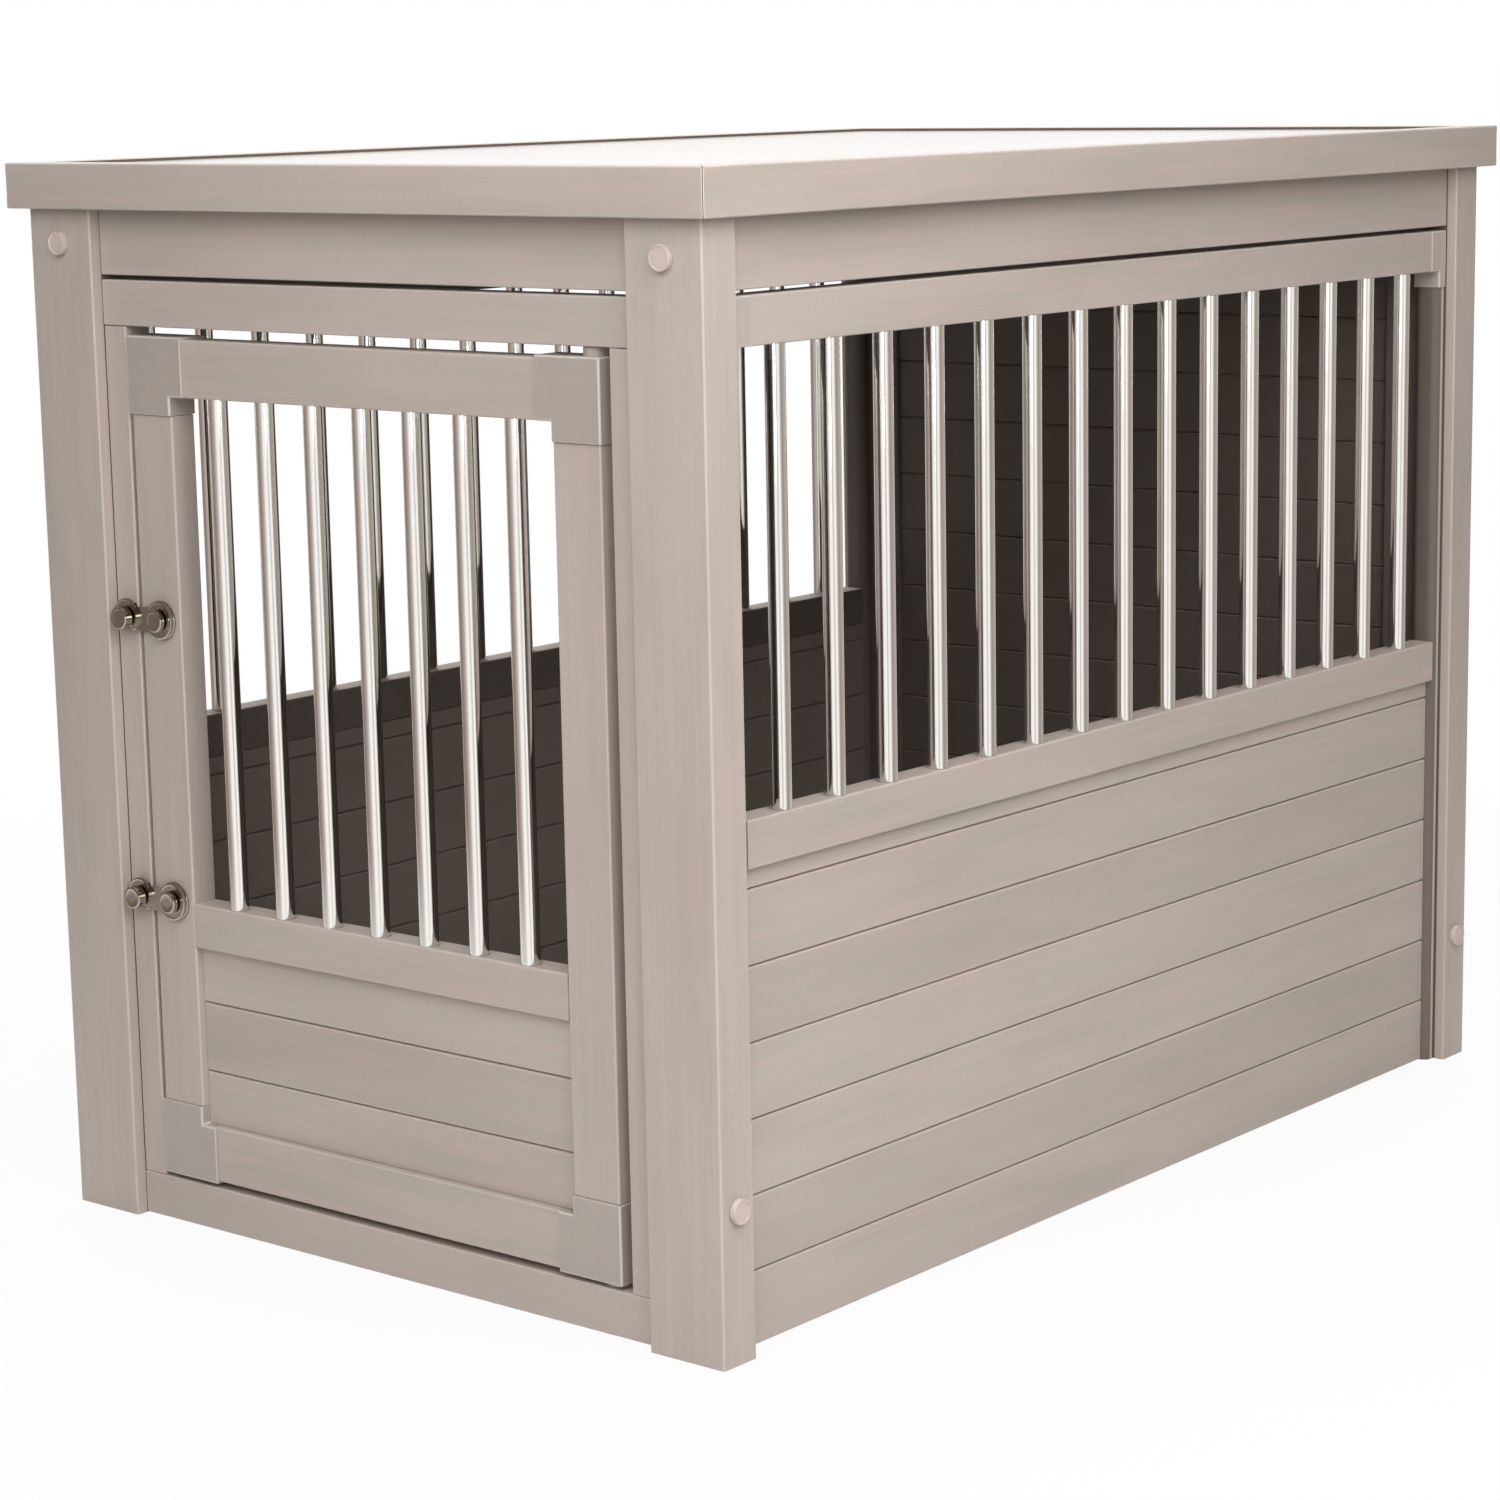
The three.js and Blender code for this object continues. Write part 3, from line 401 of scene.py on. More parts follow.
# The faces of the panels between the posts: outside them a post gets no painted shade.
PANEL_FACES = (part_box("side_stile_front_right")[1].x, -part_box("doorway_stile_right")[0].y)
for end in ("front", "back"):
    for side in ("left", "right"):
        node = f"post_{end}_{side}"
        low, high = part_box(node)
        start_board(low, high, Z, upright, upright_arris)
        for axis in (X, Y):
            at = math.copysign(PANEL_FACES[axis], low[axis])
            saw(on_axis(axis, at), on_axis(axis, 1))
        painted_shade_inside(upright_painted_shade, PANEL_FACES)
        finish_piece(f"corner_post_{end}_{side}", "crate", "boards", node)

# ---- plugs
# Round caps of moulded plastic over the bolts, one low on the side of each post and one high on
# each post of the door end. Each has a raised rim, a dished face and a stem in the bolt hole.
PLUG_HEAD = 3.7 * MM
PLUG_RIM = 1.5 * MM
PLUG_DISH = 0.6 * MM
PLUG_HOLLOW = 1.2 * MM
PLUG_BULGE = 0.25 * MM
PLUG_ARRIS = 0.5 * MM
PLUG_STEM_RADIUS = 4.5 * MM
PLUG_STEM_LENGTH = 6 * MM
SMOOTH_PINK = "#cdbdb3"


def moulded(name, colour, roughness):
    """Moulded plastic: smooth skin with a faint orange peel of about 1 mm and soft sink marks."""
    made, tree, place = start_finish(name)
    peel = add_node(tree, "ShaderNodeTexNoise", {
        "Vector": place, "Scale": 1 / (1.1 * MM), "Detail": 2.0})
    sink = add_node(tree, "ShaderNodeTexNoise", {
        "Vector": place, "Scale": 1 / (22 * MM), "Detail": 3.0})
    red, green, blue, _ = linear(colour)
    shade = add_node(tree, "ShaderNodeMix", {
        0: sink, 6: (red * 0.88, green * 0.88, blue * 0.89, 1),
        7: (red * 1.12, green * 1.11, blue * 1.10, 1)}, data_type="RGBA")
    rough = add_node(tree, "ShaderNodeMapRange", {
        "Value": peel, "To Min": roughness - 0.08, "To Max": roughness + 0.08})
    bump = add_node(tree, "ShaderNodeBump", {
        "Height": peel, "Strength": 0.35, "Distance": 0.05 * MM})
    skin = add_node(tree, "ShaderNodeBsdfPrincipled", {
        "Base Color": shade.outputs[2], "Roughness": rough, "IOR": 1.5, "Normal": bump})
    add_node(tree, "ShaderNodeOutputMaterial", {"Surface": skin})
    return made


def start_round(low, high, axis, sides, *materials):
    """A round bar turned to size about an axis, ready to be shaped."""
    low, high = Vector(low), Vector(high)
    radius = (high - low)[(axis + 1) % 3] / 2
    turn = {X: (0, math.pi / 2, 0), Y: (math.pi / 2, 0, 0), Z: (0, 0, 0)}[axis]
    bpy.ops.object.select_all(action="DESELECT")
    bpy.ops.mesh.primitive_cylinder_add(vertices=sides, radius=radius, depth=(high - low)[axis],
                                        location=(low + high) / 2, rotation=turn)
    make_ready(*materials)


def push(axis, distance):
    """Extrudes what is selected along an axis."""
    bpy.ops.mesh.extrude_region_move(TRANSFORM_OT_translate={"value": on_axis(axis, distance)})


plug_plastic = moulded("moulded_plug_plastic", SMOOTH_PINK, 0.42)
for node, axis, side in (
    ("plug_front_left", Y, -1), ("plug_front_right", Y, -1),
    ("plug_side_front_left", X, -1), ("plug_side_back_left", X, -1),
    ("plug_side_front_right", X, 1), ("plug_side_back_right", X, 1),
):
    low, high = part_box(node)
    # The solid runs from the end of the stem to the face, and only the head stands proud.
    if side > 0:
        low[axis] = high[axis] - PLUG_HEAD
    else:
        high[axis] = low[axis] + PLUG_HEAD
    start_round(low, high, axis, 48, plug_plastic)
    face_at = (high if side > 0 else low)[axis]
    plug_radius = (high - low)[(axis + 1) % 3] / 2
    pick("FACE", lambda face: face.normal[axis] * side > 0.9)
    bpy.ops.mesh.inset(thickness=PLUG_RIM)
    push(axis, -side * PLUG_DISH)
    bpy.ops.mesh.inset(thickness=PLUG_HOLLOW)
    bpy.ops.transform.translate(value=on_axis(axis, side * PLUG_BULGE))
    pick("EDGE", lambda edge: is_at(edge, axis, face_at) and edge.calc_face_angle(0) > 0.6)
    bpy.ops.mesh.bevel(offset=PLUG_ARRIS, segments=3, affect="EDGES")
    # The back of the head is its only face inwards that is larger than 60 square millimetres.
    pick("FACE", lambda face: face.normal[axis] * side < -0.9 and face.calc_area() > 60 * MM * MM)
    bpy.ops.mesh.inset(thickness=plug_radius - PLUG_STEM_RADIUS)
    push(axis, -side * PLUG_STEM_LENGTH)
    finish_piece(f"bolt_{node}", "crate", "plugs", node)

# ---- aprons
# One board on edge under each edge of the top, butted between the posts. Daylight shows through
# the narrow gap that is left under it.
# The arris finishes are paler: partly rubbed wear, partly a painted highlight.
crosswise = composite("composite_crosswise", X)
crosswise_arris = composite("composite_crosswise_arris", X, wear_and_highlight=0.14)
lengthwise = composite("composite_lengthwise", Y)
lengthwise_arris = composite("composite_lengthwise_arris", Y, wear_and_highlight=0.14)
for side in ("left", "right"):
    start_board(*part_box(f"apron_{side}"), Y, lengthwise, lengthwise_arris)
    finish_piece(f"apron_board_{side}", "crate", "boards", f"apron_{side}")
for end in ("front", "back"):
    start_board(*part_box(f"apron_{end}"), X, crosswise, crosswise_arris)
    finish_piece(f"apron_board_{end}", "crate", "boards", f"apron_{end}")

# ---- rails of the long sides
# Hollow boards across the top and the middle of each long side. Both are drilled for the tubes,
# which stand in the middle rail and hang from a strip inside the top one.
TUBE_PITCH = 50 * MM
TUBE_HOLE_RADIUS = 6.3 * MM
TUBE_HOLE_DEPTH = {"top": 6 * MM, "mid": 24 * MM}
SIDE_TUBE_X = 262.5 * MM
SIDE_TUBE_Y = [TUBE_PITCH * i for i in range(-7, 8)]
# Painted shade on the inward faces of the rails.
lengthwise_painted_shade = composite("composite_lengthwise_inside", Y, painted_shade=INSIDE_PAINTED_SHADE)


def take_up(piece):
    """Makes a piece the only one in hand."""
    bpy.ops.object.select_all(action="DESELECT")
    piece.select_set(True)
    bpy.context.view_layer.objects.active = piece


def combine(piece, how):
    """Joins the shape in hand to a piece or cuts it out of the piece, and throws it away."""
    shape = put_down()
    take_up(piece)
    step = piece.modifiers.new("combine", "BOOLEAN")
    step.operation = how
    step.object = shape
    step.solver = "EXACT"
    bpy.ops.object.modifier_apply(modifier=step.name)
    bpy.data.objects.remove(shape)


def drill(piece, axis, radius, places, low, high):
    """Drills round holes through a piece along an axis, from low to high, at the given centres."""
    bits = []
    for a, b in places:
        centre, reach = [a, b], [radius, radius]
        centre.insert(axis, (low + high) / 2)
        reach.insert(axis, (high - low) / 2)
        start_round(Vector(centre) - Vector(reach), Vector(centre) + Vector(reach), axis, 32)
        bits.append(put_down())
    take_up(bits[0])
    for bit in bits:
        bit.select_set(True)
    if len(bits) > 1:
        bpy.ops.object.join()
    combine(piece, "DIFFERENCE")


def bore(low, high, depth, upwards):
    """How far a drill goes that enters a board from below, or else from above."""
    return (low.z - MM, low.z + depth) if upwards else (high.z - depth, high.z + MM)


for side, sign in (("left", -1), ("right", 1)):
    for rail in ("top", "mid"):
        node = f"side_{rail}_rail_{side}"
        low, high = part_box(node)
        start_board(low, high, Y, lengthwise, lengthwise_arris)
        painted_shade_inside(lengthwise_painted_shade)
        drill(put_down(), Z, TUBE_HOLE_RADIUS, [(sign * SIDE_TUBE_X, y) for y in SIDE_TUBE_Y],
              *bore(low, high, TUBE_HOLE_DEPTH[rail], rail == "top"))
        finish_piece(f"window_{rail}_rail_{side}", "crate", "boards", node)

# ---- end stiles and moulded corners of the long sides
# A narrow upright with a round inner side closes each end of the window frame. The corner above it
# is a moulded elbow, a little proud of the boards, that takes the end of the top rail.
CORNER_DROP = 11.5 * MM
CORNER_PROUD = 0.8 * MM
CORNER_GAP = 0.8 * MM
CORNER_WIDTH = 20.2 * MM
STILE_WIDTH = 10 * MM
STILE_ROUND = 6 * MM
STILE_GAP = 1.3 * MM
# The second, paler plastic goes on rounds and butt ends: partly rubbed wear, partly a painted
# highlight.
window_plastic = moulded("moulded_window_corner_plastic", "#b9aea6", 0.42)
window_plastic_rubbed_and_highlit = moulded("moulded_window_corner_plastic_rubbed", "#d0c8c1", 0.38)


def bevel_corners(wide, narrow, is_butt):
    """Rounds the outline of a moulded corner, and only eases the ends that butt on the boards."""
    bpy.ops.mesh.select_all(action="SELECT")
    bpy.ops.mesh.dissolve_limited(angle_limit=math.radians(1))
    pick("EDGE", lambda edge: edge.calc_face_angle(0) > 1
         and not any(is_butt(face) for face in edge.link_faces))
    # The rounds and the butt ends take the paler second plastic: partly rubbed wear, partly a
    # painted highlight.
    bpy.ops.mesh.bevel(offset=wide, segments=4, affect="EDGES", material=1)
    pick("FACE", is_butt)
    bpy.context.object.active_material_index = 1
    bpy.ops.object.material_slot_assign()
    bpy.ops.mesh.region_to_loop()
    bpy.ops.mesh.bevel(offset=narrow, segments=2, affect="EDGES", material=1)


for side in ("left", "right"):
    for end, towards in (("front", -1), ("back", 1)):
        node = f"side_stile_{end}_{side}"
        low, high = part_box(node)
        rail_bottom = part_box(f"side_top_rail_{side}")[0].z
        low.x, high.x = low.x + CORNER_PROUD, high.x - CORNER_PROUD
        outer_y = low.y if towards < 0 else high.y
        split = outer_y - towards * STILE_WIDTH
        stile_y = sorted((outer_y - towards * STILE_GAP, split))
        start_block((low.x, stile_y[0], low.z), (high.x, stile_y[1], rail_bottom - CORNER_DROP),
                    upright, upright_arris)
        pick("EDGE", lambda edge: runs(edge, Z) and is_at(edge, Y, split))
        bpy.ops.mesh.bevel(offset=STILE_ROUND, segments=8, affect="EDGES")
        pick("EDGE", lambda edge: runs(edge, Z) and edge.calc_face_angle(0) > 1)
        bpy.ops.mesh.bevel(offset=1.0 * MM, segments=3, affect="EDGES", material=1)
        painted_shade_inside(upright_painted_shade)
        finish_piece(f"window_stile_{end}_{side}", "crate", "mouldings", node)

        block_y = sorted((outer_y - towards * CORNER_GAP, outer_y - towards * CORNER_WIDTH))
        start_block((low.x - CORNER_PROUD, block_y[0], rail_bottom),
                    (high.x + CORNER_PROUD, block_y[1], high.z),
                    window_plastic, window_plastic_rubbed_and_highlit)
        saw(on_axis(Y, split), on_axis(Y, 1))
        pick("FACE", lambda face: face.normal.z < -0.9
             and (face.calc_center_median().y - split) * towards > 0)
        push(Z, -CORNER_DROP)
        bevel_corners(1.1 * MM, 0.3 * MM, lambda face: (
            face.normal.z < -0.9 and face.calc_center_median().z < rail_bottom - MM
            or face.normal.y * towards < -0.9 and face.calc_center_median().z > rail_bottom + MM))
        finish_piece(f"window_corner_{end}_{side}", "crate", "mouldings", node)

# ---- slats of the long sides
# Tongue-and-groove composite boards laid on each other and set into the frame. The top board is
# cut down to fit under the middle rail.
SLAT_PITCH = 45.2 * MM
SLAT_GAP = 0.7 * MM
SLAT_ARRIS = 1.3 * MM
SLAT_CHEEK = 3.4 * MM
TONGUE_LENGTH = 3.6 * MM
GROOVE_DEPTH = 3.9 * MM
FIRST_SEAM = 45.7 * MM


def mill_joint(along, across, cheek):
    """Rounds the long edges of the board in hand, and mills a tongue on its one side and a groove
    with a little play in the other."""
    pick("EDGE", lambda edge: runs(edge, along))
    # The rounded edges take the paler arris finish: partly rubbed wear, partly a painted highlight.
    bpy.ops.mesh.bevel(offset=SLAT_ARRIS, segments=3, affect="EDGES", material=1)
    for way, inset, length in ((1, cheek, TONGUE_LENGTH), (-1, cheek - 0.2 * MM, GROOVE_DEPTH)):
        pick("FACE", lambda face: face.normal[across] * way > 0.99)
        bpy.ops.mesh.inset(thickness=inset)
        push(across, length)


def repeat(count, step):
    """Makes a row of the piece in hand."""
    row = put_down().modifiers.new("row", "ARRAY")
    row.count = count
    row.use_relative_offset = False
    row.use_constant_offset = True
    row.constant_offset_displace = step
    bpy.ops.object.modifier_apply(modifier=row.name)


def start_slats(low, high, along, first_seam, face, arris):
    """A panel of tongue-and-groove boards: one is made, repeated upwards, and cut to height."""
    bottom = first_seam
    while bottom > low.z:
        bottom -= SLAT_PITCH
    start_block((low.x, low.y, bottom + SLAT_GAP / 2),
                (high.x, high.y, bottom + SLAT_PITCH - SLAT_GAP / 2), face, arris)
    mill_joint(along, Z, SLAT_CHEEK)
    repeat(math.ceil((high.z - bottom) / SLAT_PITCH), on_axis(Z, SLAT_PITCH))
    bpy.ops.object.mode_set(mode="EDIT")
    for height, way in ((low.z, -1), (high.z, 1)):
        saw(on_axis(Z, height), on_axis(Z, way), off=True)


# Painted shade on the inside of the long walls, lighter than on the rest of the inside, as they are
# seen through the door.
LONG_WALL_PAINTED_SHADE = "#7a7067"
slats_long = composite("composite_slats_lengthwise", Y, slat_pitch=SLAT_PITCH,
                       slat_from=FIRST_SEAM - SLAT_PITCH)
# The arris finish is paler: partly rubbed wear, partly a painted highlight.
slats_long_arris = composite("composite_slats_lengthwise_arris", Y, wear_and_highlight=0.08)
slats_long_painted_shade = composite("composite_slats_lengthwise_inside", Y, painted_shade=LONG_WALL_PAINTED_SHADE)
for side in ("left", "right"):
    start_slats(*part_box(f"side_slats_{side}"), Y, FIRST_SEAM, slats_long, slats_long_arris)
    painted_shade_inside(slats_long_painted_shade)
    finish_piece(f"window_slats_{side}", "crate", "boards", f"side_slats_{side}")

# ---- tubes of the long sides
# Fifteen thin-walled stainless tubes on each side, polished bright along their length. One tube
# is made and the rest are copies; their heads are held by a strip hidden in the top rail.
TUBE_RADIUS = 6 * MM
TUBE_WALL = 1 * MM


def polished_steel(name, colour, low, high, scratch, along):
    """Bright polished metal: clean mirror sides with hair-fine polishing marks along its length."""
    made, tree, place = start_finish(name)
    size = [1 / (scratch * MM)] * 3
    size[along] = 1 / (45 * MM)
    marks = add_node(tree, "ShaderNodeMapping", {"Vector": place, "Scale": size})
    marks = add_node(tree, "ShaderNodeTexNoise", {"Vector": marks, "Scale": 1.0, "Detail": 3.0})
    smears = add_node(tree, "ShaderNodeTexNoise", {
        "Vector": place, "Scale": 1 / (18 * MM), "Detail": 3.0})
    both = add_node(tree, "ShaderNodeMath", {0: marks, 1: smears}, operation="MULTIPLY")
    rough = add_node(tree, "ShaderNodeMapRange", {
        "Value": both, "From Min": 0.12, "From Max": 0.4, "To Min": low, "To Max": high})
    bump = add_node(tree, "ShaderNodeBump", {
        "Height": marks, "Strength": 0.12, "Distance": 0.01 * MM})
    red, green, blue, _ = linear(colour)
    shade = add_node(tree, "ShaderNodeMix", {
        0: smears, 6: (red * 0.93, green * 0.93, blue * 0.93, 1), 7: (red, green, blue, 1),
    }, data_type="RGBA")
    skin = add_node(tree, "ShaderNodeBsdfPrincipled", {
        "Base Color": shade.outputs[2], "Metallic": 1.0, "Roughness": rough, "Normal": bump})
    add_node(tree, "ShaderNodeOutputMaterial", {"Surface": skin})
    return made


def start_tube(x, y, bottom, top, steel):
    """One length of round tube, open at both ends, with its cut rims deburred."""
    start_round((x - TUBE_RADIUS, y - TUBE_RADIUS, bottom), (x + TUBE_RADIUS, y + TUBE_RADIUS, top),
                Z, 48, steel)
    pick("FACE", lambda face: abs(face.normal.z) > 0.9)
    bpy.ops.mesh.inset(thickness=TUBE_WALL)
    bpy.ops.mesh.bridge_edge_loops()
    pick("EDGE", lambda edge: not runs(edge, Z) and edge.calc_face_angle(0) > 1)
    bpy.ops.mesh.bevel(offset=0.2 * MM, segments=2, affect="EDGES")


tube_steel = polished_steel("stainless_tube_polished", "#f7f5f2", 0.03, 0.08, 0.5, Z)
for side, sign in (("left", -1), ("right", 1)):
    node = f"side_tube_comb_{side}"
    low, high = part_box(node)
    start_tube(sign * SIDE_TUBE_X, SIDE_TUBE_Y[0], low.z, high.z, tube_steel)
    repeat(len(SIDE_TUBE_Y), on_axis(Y, TUBE_PITCH))
    finish_piece(f"window_tubes_{side}", "crate", "tubes", node)

# ---- back
# Slats from the ground to a full-depth rail at the top, in one panel between the back posts. They
# are the same tongue-and-groove composite boards as on the long sides.
SLAT_THICKNESS = 12.5 * MM
SLATS_SET_IN = 5.5 * MM
# Painted shade on the inward faces of the back.
crosswise_painted_shade = composite("composite_crosswise_inside", X, painted_shade=INSIDE_PAINTED_SHADE)
slats_cross = composite("composite_slats_crosswise", X, slat_pitch=SLAT_PITCH,
                        slat_from=FIRST_SEAM - SLAT_PITCH)
# The arris finish is paler: partly rubbed wear, partly a painted highlight.
slats_cross_arris = composite("composite_slats_crosswise_arris", X, wear_and_highlight=0.08)
low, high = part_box("back_panel")
rail_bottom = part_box("door_header")[0].z
face_y = high.y - SLATS_SET_IN
start_slats(Vector((low.x, face_y - SLAT_THICKNESS, low.z)), Vector((high.x, face_y, rail_bottom)),
            X, FIRST_SEAM, slats_cross, slats_cross_arris)
painted_shade_inside(crosswise_painted_shade)
finish_piece("back_slats", "crate", "boards", "back_panel")
start_board((low.x, low.y, rail_bottom), high, X, crosswise, crosswise_arris)
painted_shade_inside(crosswise_painted_shade)
finish_piece("back_top_rail", "crate", "boards", "back_panel")

# ---- floor
# Planks from the door to the back with their edges in the grooves of the panels round them, and
# the corners cut out round the posts.
PLANK_COUNT = 11
PLANK_PITCH = 2 * 254.2 * MM / PLANK_COUNT
PLANK_CHEEK = 3 * MM
# At each corner the floor ends short of the post, and of the stile beside it, at these places.
CORNER_CUTS = ((220.9 * MM, 399.4 * MM), (250.2 * MM, 389.4 * MM))
PAST_FLOOR = (270 * MM, 420 * MM)
# Painted shade: the floor planks are darkened, standing in for the shade inside the crate.
FLOOR_PAINTED_SHADE = "#5f564e"
low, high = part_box("floor_panel")
floor_planks = composite("composite_floor_planks", Y, slat_pitch=PLANK_PITCH, slat_from=low.x,
                         slat_axis=X, painted_shade=FLOOR_PAINTED_SHADE)
# The arris finish is paler: partly rubbed wear, partly a painted highlight.
floor_planks_arris = composite("composite_floor_planks_arris", Y, wear_and_highlight=0.08, painted_shade=FLOOR_PAINTED_SHADE)
start_block((low.x + SLAT_GAP / 2, low.y, low.z),
            (low.x + PLANK_PITCH - SLAT_GAP / 2, high.y, high.z), floor_planks, floor_planks_arris)
mill_joint(Y, X, PLANK_CHEEK)
repeat(PLANK_COUNT, on_axis(X, PLANK_PITCH))
bpy.ops.object.mode_set(mode="EDIT")
saw(high, on_axis(X, 1), off=True)
planks = put_down()
for sign in (-1, 1):
    for towards in (-1, 1):
        for x_from, y_from in CORNER_CUTS:
            xs = sorted((sign * x_from, sign * PAST_FLOOR[X]))
            ys = sorted((towards * y_from, towards * PAST_FLOOR[Y]))
            start_block((xs[0], ys[0], -10 * MM), (xs[1], ys[1], 30 * MM))
            combine(planks, "DIFFERENCE")
finish_piece("crate_floor_planks", "crate", "boards", "floor_panel")

# ---- doorway
# A header, a sill and a narrow stile against each post make the frame that the door shuts into.
# Header and sill are bored for the door's pivot pins.
PIN_HOLE_RADIUS = 4.3 * MM
PIN_HOLE_DEPTH = 12.3 * MM
hinge = next(joint for joint in frame["joints"] if joint["name"] == "door_hinge")
pivot_x, pivot_y = hinge["pos_m"][:2]
for part in ("header", "sill"):
    low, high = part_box(f"door_{part}")
    start_board(low, high, X, crosswise, crosswise_arris)
    drill(put_down(), Z, PIN_HOLE_RADIUS, [(pivot_x, pivot_y)],
          *bore(low, high, PIN_HOLE_DEPTH, part == "header"))
    finish_piece(f"doorway_{part}", "crate", "boards", f"door_{part}")
for side in ("left", "right"):
    node = f"doorway_stile_{side}"
    start_board(*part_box(node), Z, upright, upright_arris)
    finish_piece(f"doorway_jamb_{side}", "crate", "boards", node)

# ---- door elbows
# Four moulded corner pieces join the door's stiles and rails. They stand a little proud of the
# boards, and the two on the hinge side carry round bosses and pins that turn in the frame.
ELBOW_WIDTH = 37.5 * MM
ELBOW_REACH = 11.5 * MM
BOSS_RADIUS = 7.5 * MM
BOSS_ROOT = 3 * MM
BOSS_PLAY = 0.3 * MM
PIN_RADIUS = 4 * MM
PIN_LENGTH = 12 * MM
# The second, paler plastic goes on rounds and butt ends: partly rubbed wear, partly a painted
# highlight.
corner_plastic = moulded("moulded_corner_plastic", "#aea49c", 0.40)
corner_plastic_rubbed_and_highlit = moulded("moulded_corner_plastic_rubbed", "#cbc3bc", 0.36)
top_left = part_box("door_elbow_top_left")
door_x = {-1: top_left[0].x, 1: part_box("door_elbow_top_right")[1].x}
door_z = {-1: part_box("door_elbow_bottom_left")[0].z, 1: top_left[1].z}
bearing_z = {-1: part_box("door_sill")[1].z, 1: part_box("door_header")[0].z}
for side, sign in (("left", -1), ("right", 1)):
    for level, up in (("top", 1), ("bottom", -1)):
        x, z = door_x[sign], door_z[up]
        xs = sorted((x, x - sign * ELBOW_WIDTH))
        zs = sorted((z, z - up * ELBOW_WIDTH))
        start_block((xs[0], top_left[0].y, zs[0]), (xs[1], top_left[1].y, zs[1]),
                    corner_plastic, corner_plastic_rubbed_and_highlit)
        pick("FACE", lambda face: face.normal.x * sign < -0.9)
        push(X, -sign * ELBOW_REACH)
        pick("FACE", lambda face: face.normal.z * up < -0.9
             and xs[0] < face.calc_center_median().x < xs[1])
        push(Z, -up * ELBOW_REACH)
        far = ELBOW_WIDTH + ELBOW_REACH / 2
        bevel_corners(1.2 * MM, 0.35 * MM, lambda face: (
            face.normal.x * sign < -0.9 and abs(face.calc_center_median().x - x) > far
            or face.normal.z * up < -0.9 and abs(face.calc_center_median().z - z) > far))
        elbow = put_down()
        if sign > 0:
            span = sorted((z - up * BOSS_ROOT, bearing_z[up] - up * BOSS_PLAY))
            start_round((pivot_x - BOSS_RADIUS, pivot_y - BOSS_RADIUS, span[0]),
                        (pivot_x + BOSS_RADIUS, pivot_y + BOSS_RADIUS, span[1]),
                        Z, 48, corner_plastic)
            pick("FACE", lambda face: face.normal.z * up > 0.9)
            bpy.ops.mesh.inset(thickness=BOSS_RADIUS - PIN_RADIUS)
            push(Z, up * PIN_LENGTH)
            pick("EDGE", lambda edge: not runs(edge, Z) and edge.calc_face_angle_signed(0) > 1)
            bpy.ops.mesh.bevel(offset=0.5 * MM, segments=2, affect="EDGES")
            combine(elbow, "UNION")
        finish_piece(f"door_corner_{level}_{side}", "door", "mouldings",
                     f"door_elbow_{level}_{side}")

# ---- door boards
# Two stiles, a top and a bottom rail between the elbows, and a middle rail that carries the feet
# of the tubes. Top and middle rail are drilled for them.
DOOR_HOLE_DEPTH = {"top": 12 * MM, "mid": 24 * MM}
door_tubes = [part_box(f"door_tube_{number}") for number in range(1, 8)]
door_tube_x = [(low.x + high.x) / 2 for low, high in door_tubes]
door_tube_y = (door_tubes[0][0].y + door_tubes[0][1].y) / 2
for side in ("latch_side", "hinge_side"):
    start_board(*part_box(f"door_stile_{side}"), Z, upright, upright_arris)
    finish_piece(f"door_upright_{side}", "door", "boards", f"door_stile_{side}")
for level in ("top", "mid", "bottom"):
    node = f"door_rail_{level}"
    low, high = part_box(node)
    start_board(low, high, X, crosswise, crosswise_arris)
    if level in DOOR_HOLE_DEPTH:
        drill(put_down(), Z, TUBE_HOLE_RADIUS, [(x, door_tube_y) for x in door_tube_x],
              *bore(low, high, DOOR_HOLE_DEPTH[level], level == "top"))
    finish_piece(f"door_cross_{level}", "door", "boards", node)

# ---- door slats
# The lower half of the door is closed with the same tongue-and-groove boards, set back a little.
# They are laid on each other between the door's stiles.
DOOR_FIRST_SEAM = 104.3 * MM
door_slats = composite("composite_door_slats", X, slat_pitch=SLAT_PITCH,
                       slat_from=DOOR_FIRST_SEAM - SLAT_PITCH)
start_slats(*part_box("door_slats"), X, DOOR_FIRST_SEAM, door_slats, slats_cross_arris)
finish_piece("door_lower_slats", "door", "boards", "door_slats")

# ---- door tubes
# Seven tubes of the same steel between the middle and the top rail of the door. They are cut to
# length, deburred, and held in the drilled holes.
for number, (low, high) in enumerate(door_tubes, 1):
    start_tube(door_tube_x[number - 1], door_tube_y, low.z, high.z, tube_steel)
    finish_piece(f"door_bar_{number}", "door", "tubes", f"door_tube_{number}")

# ---- latch studs
# Turned studs of nickel-plated steel with a washer, a neck and a round head with a cupped face.
# One of each pair is screwed into the frame as a keeper, the other into the door.
WASHER_RADIUS = {"keeper": 7 * MM, "stud": 12.5 * MM}
WASHER_THICKNESS = 2 * MM
WASHER_GAP = 0.3 * MM
NECK_RADIUS = 3.5 * MM
HEAD_RADIUS = 7.2 * MM
HEAD_FROM = 4.6 * MM
HEAD_RIM = 1.5 * MM
HEAD_ROUND = 1.1 * MM
CUP_STEPS = ((0.3, 0.16), (0.9, 0.14), (2.0, 0.06))  # inwards and deeper, in millimetres
SHANK_RADIUS = 2 * MM
SHANK_LENGTH = 8.3 * MM
nickel = polished_steel("nickel_plated_steel", "#b3aba1", 0.09, 0.22, 0.8, X)
frame_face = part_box("doorway_stile_left")[0].y
head_back = frame_face - HEAD_FROM
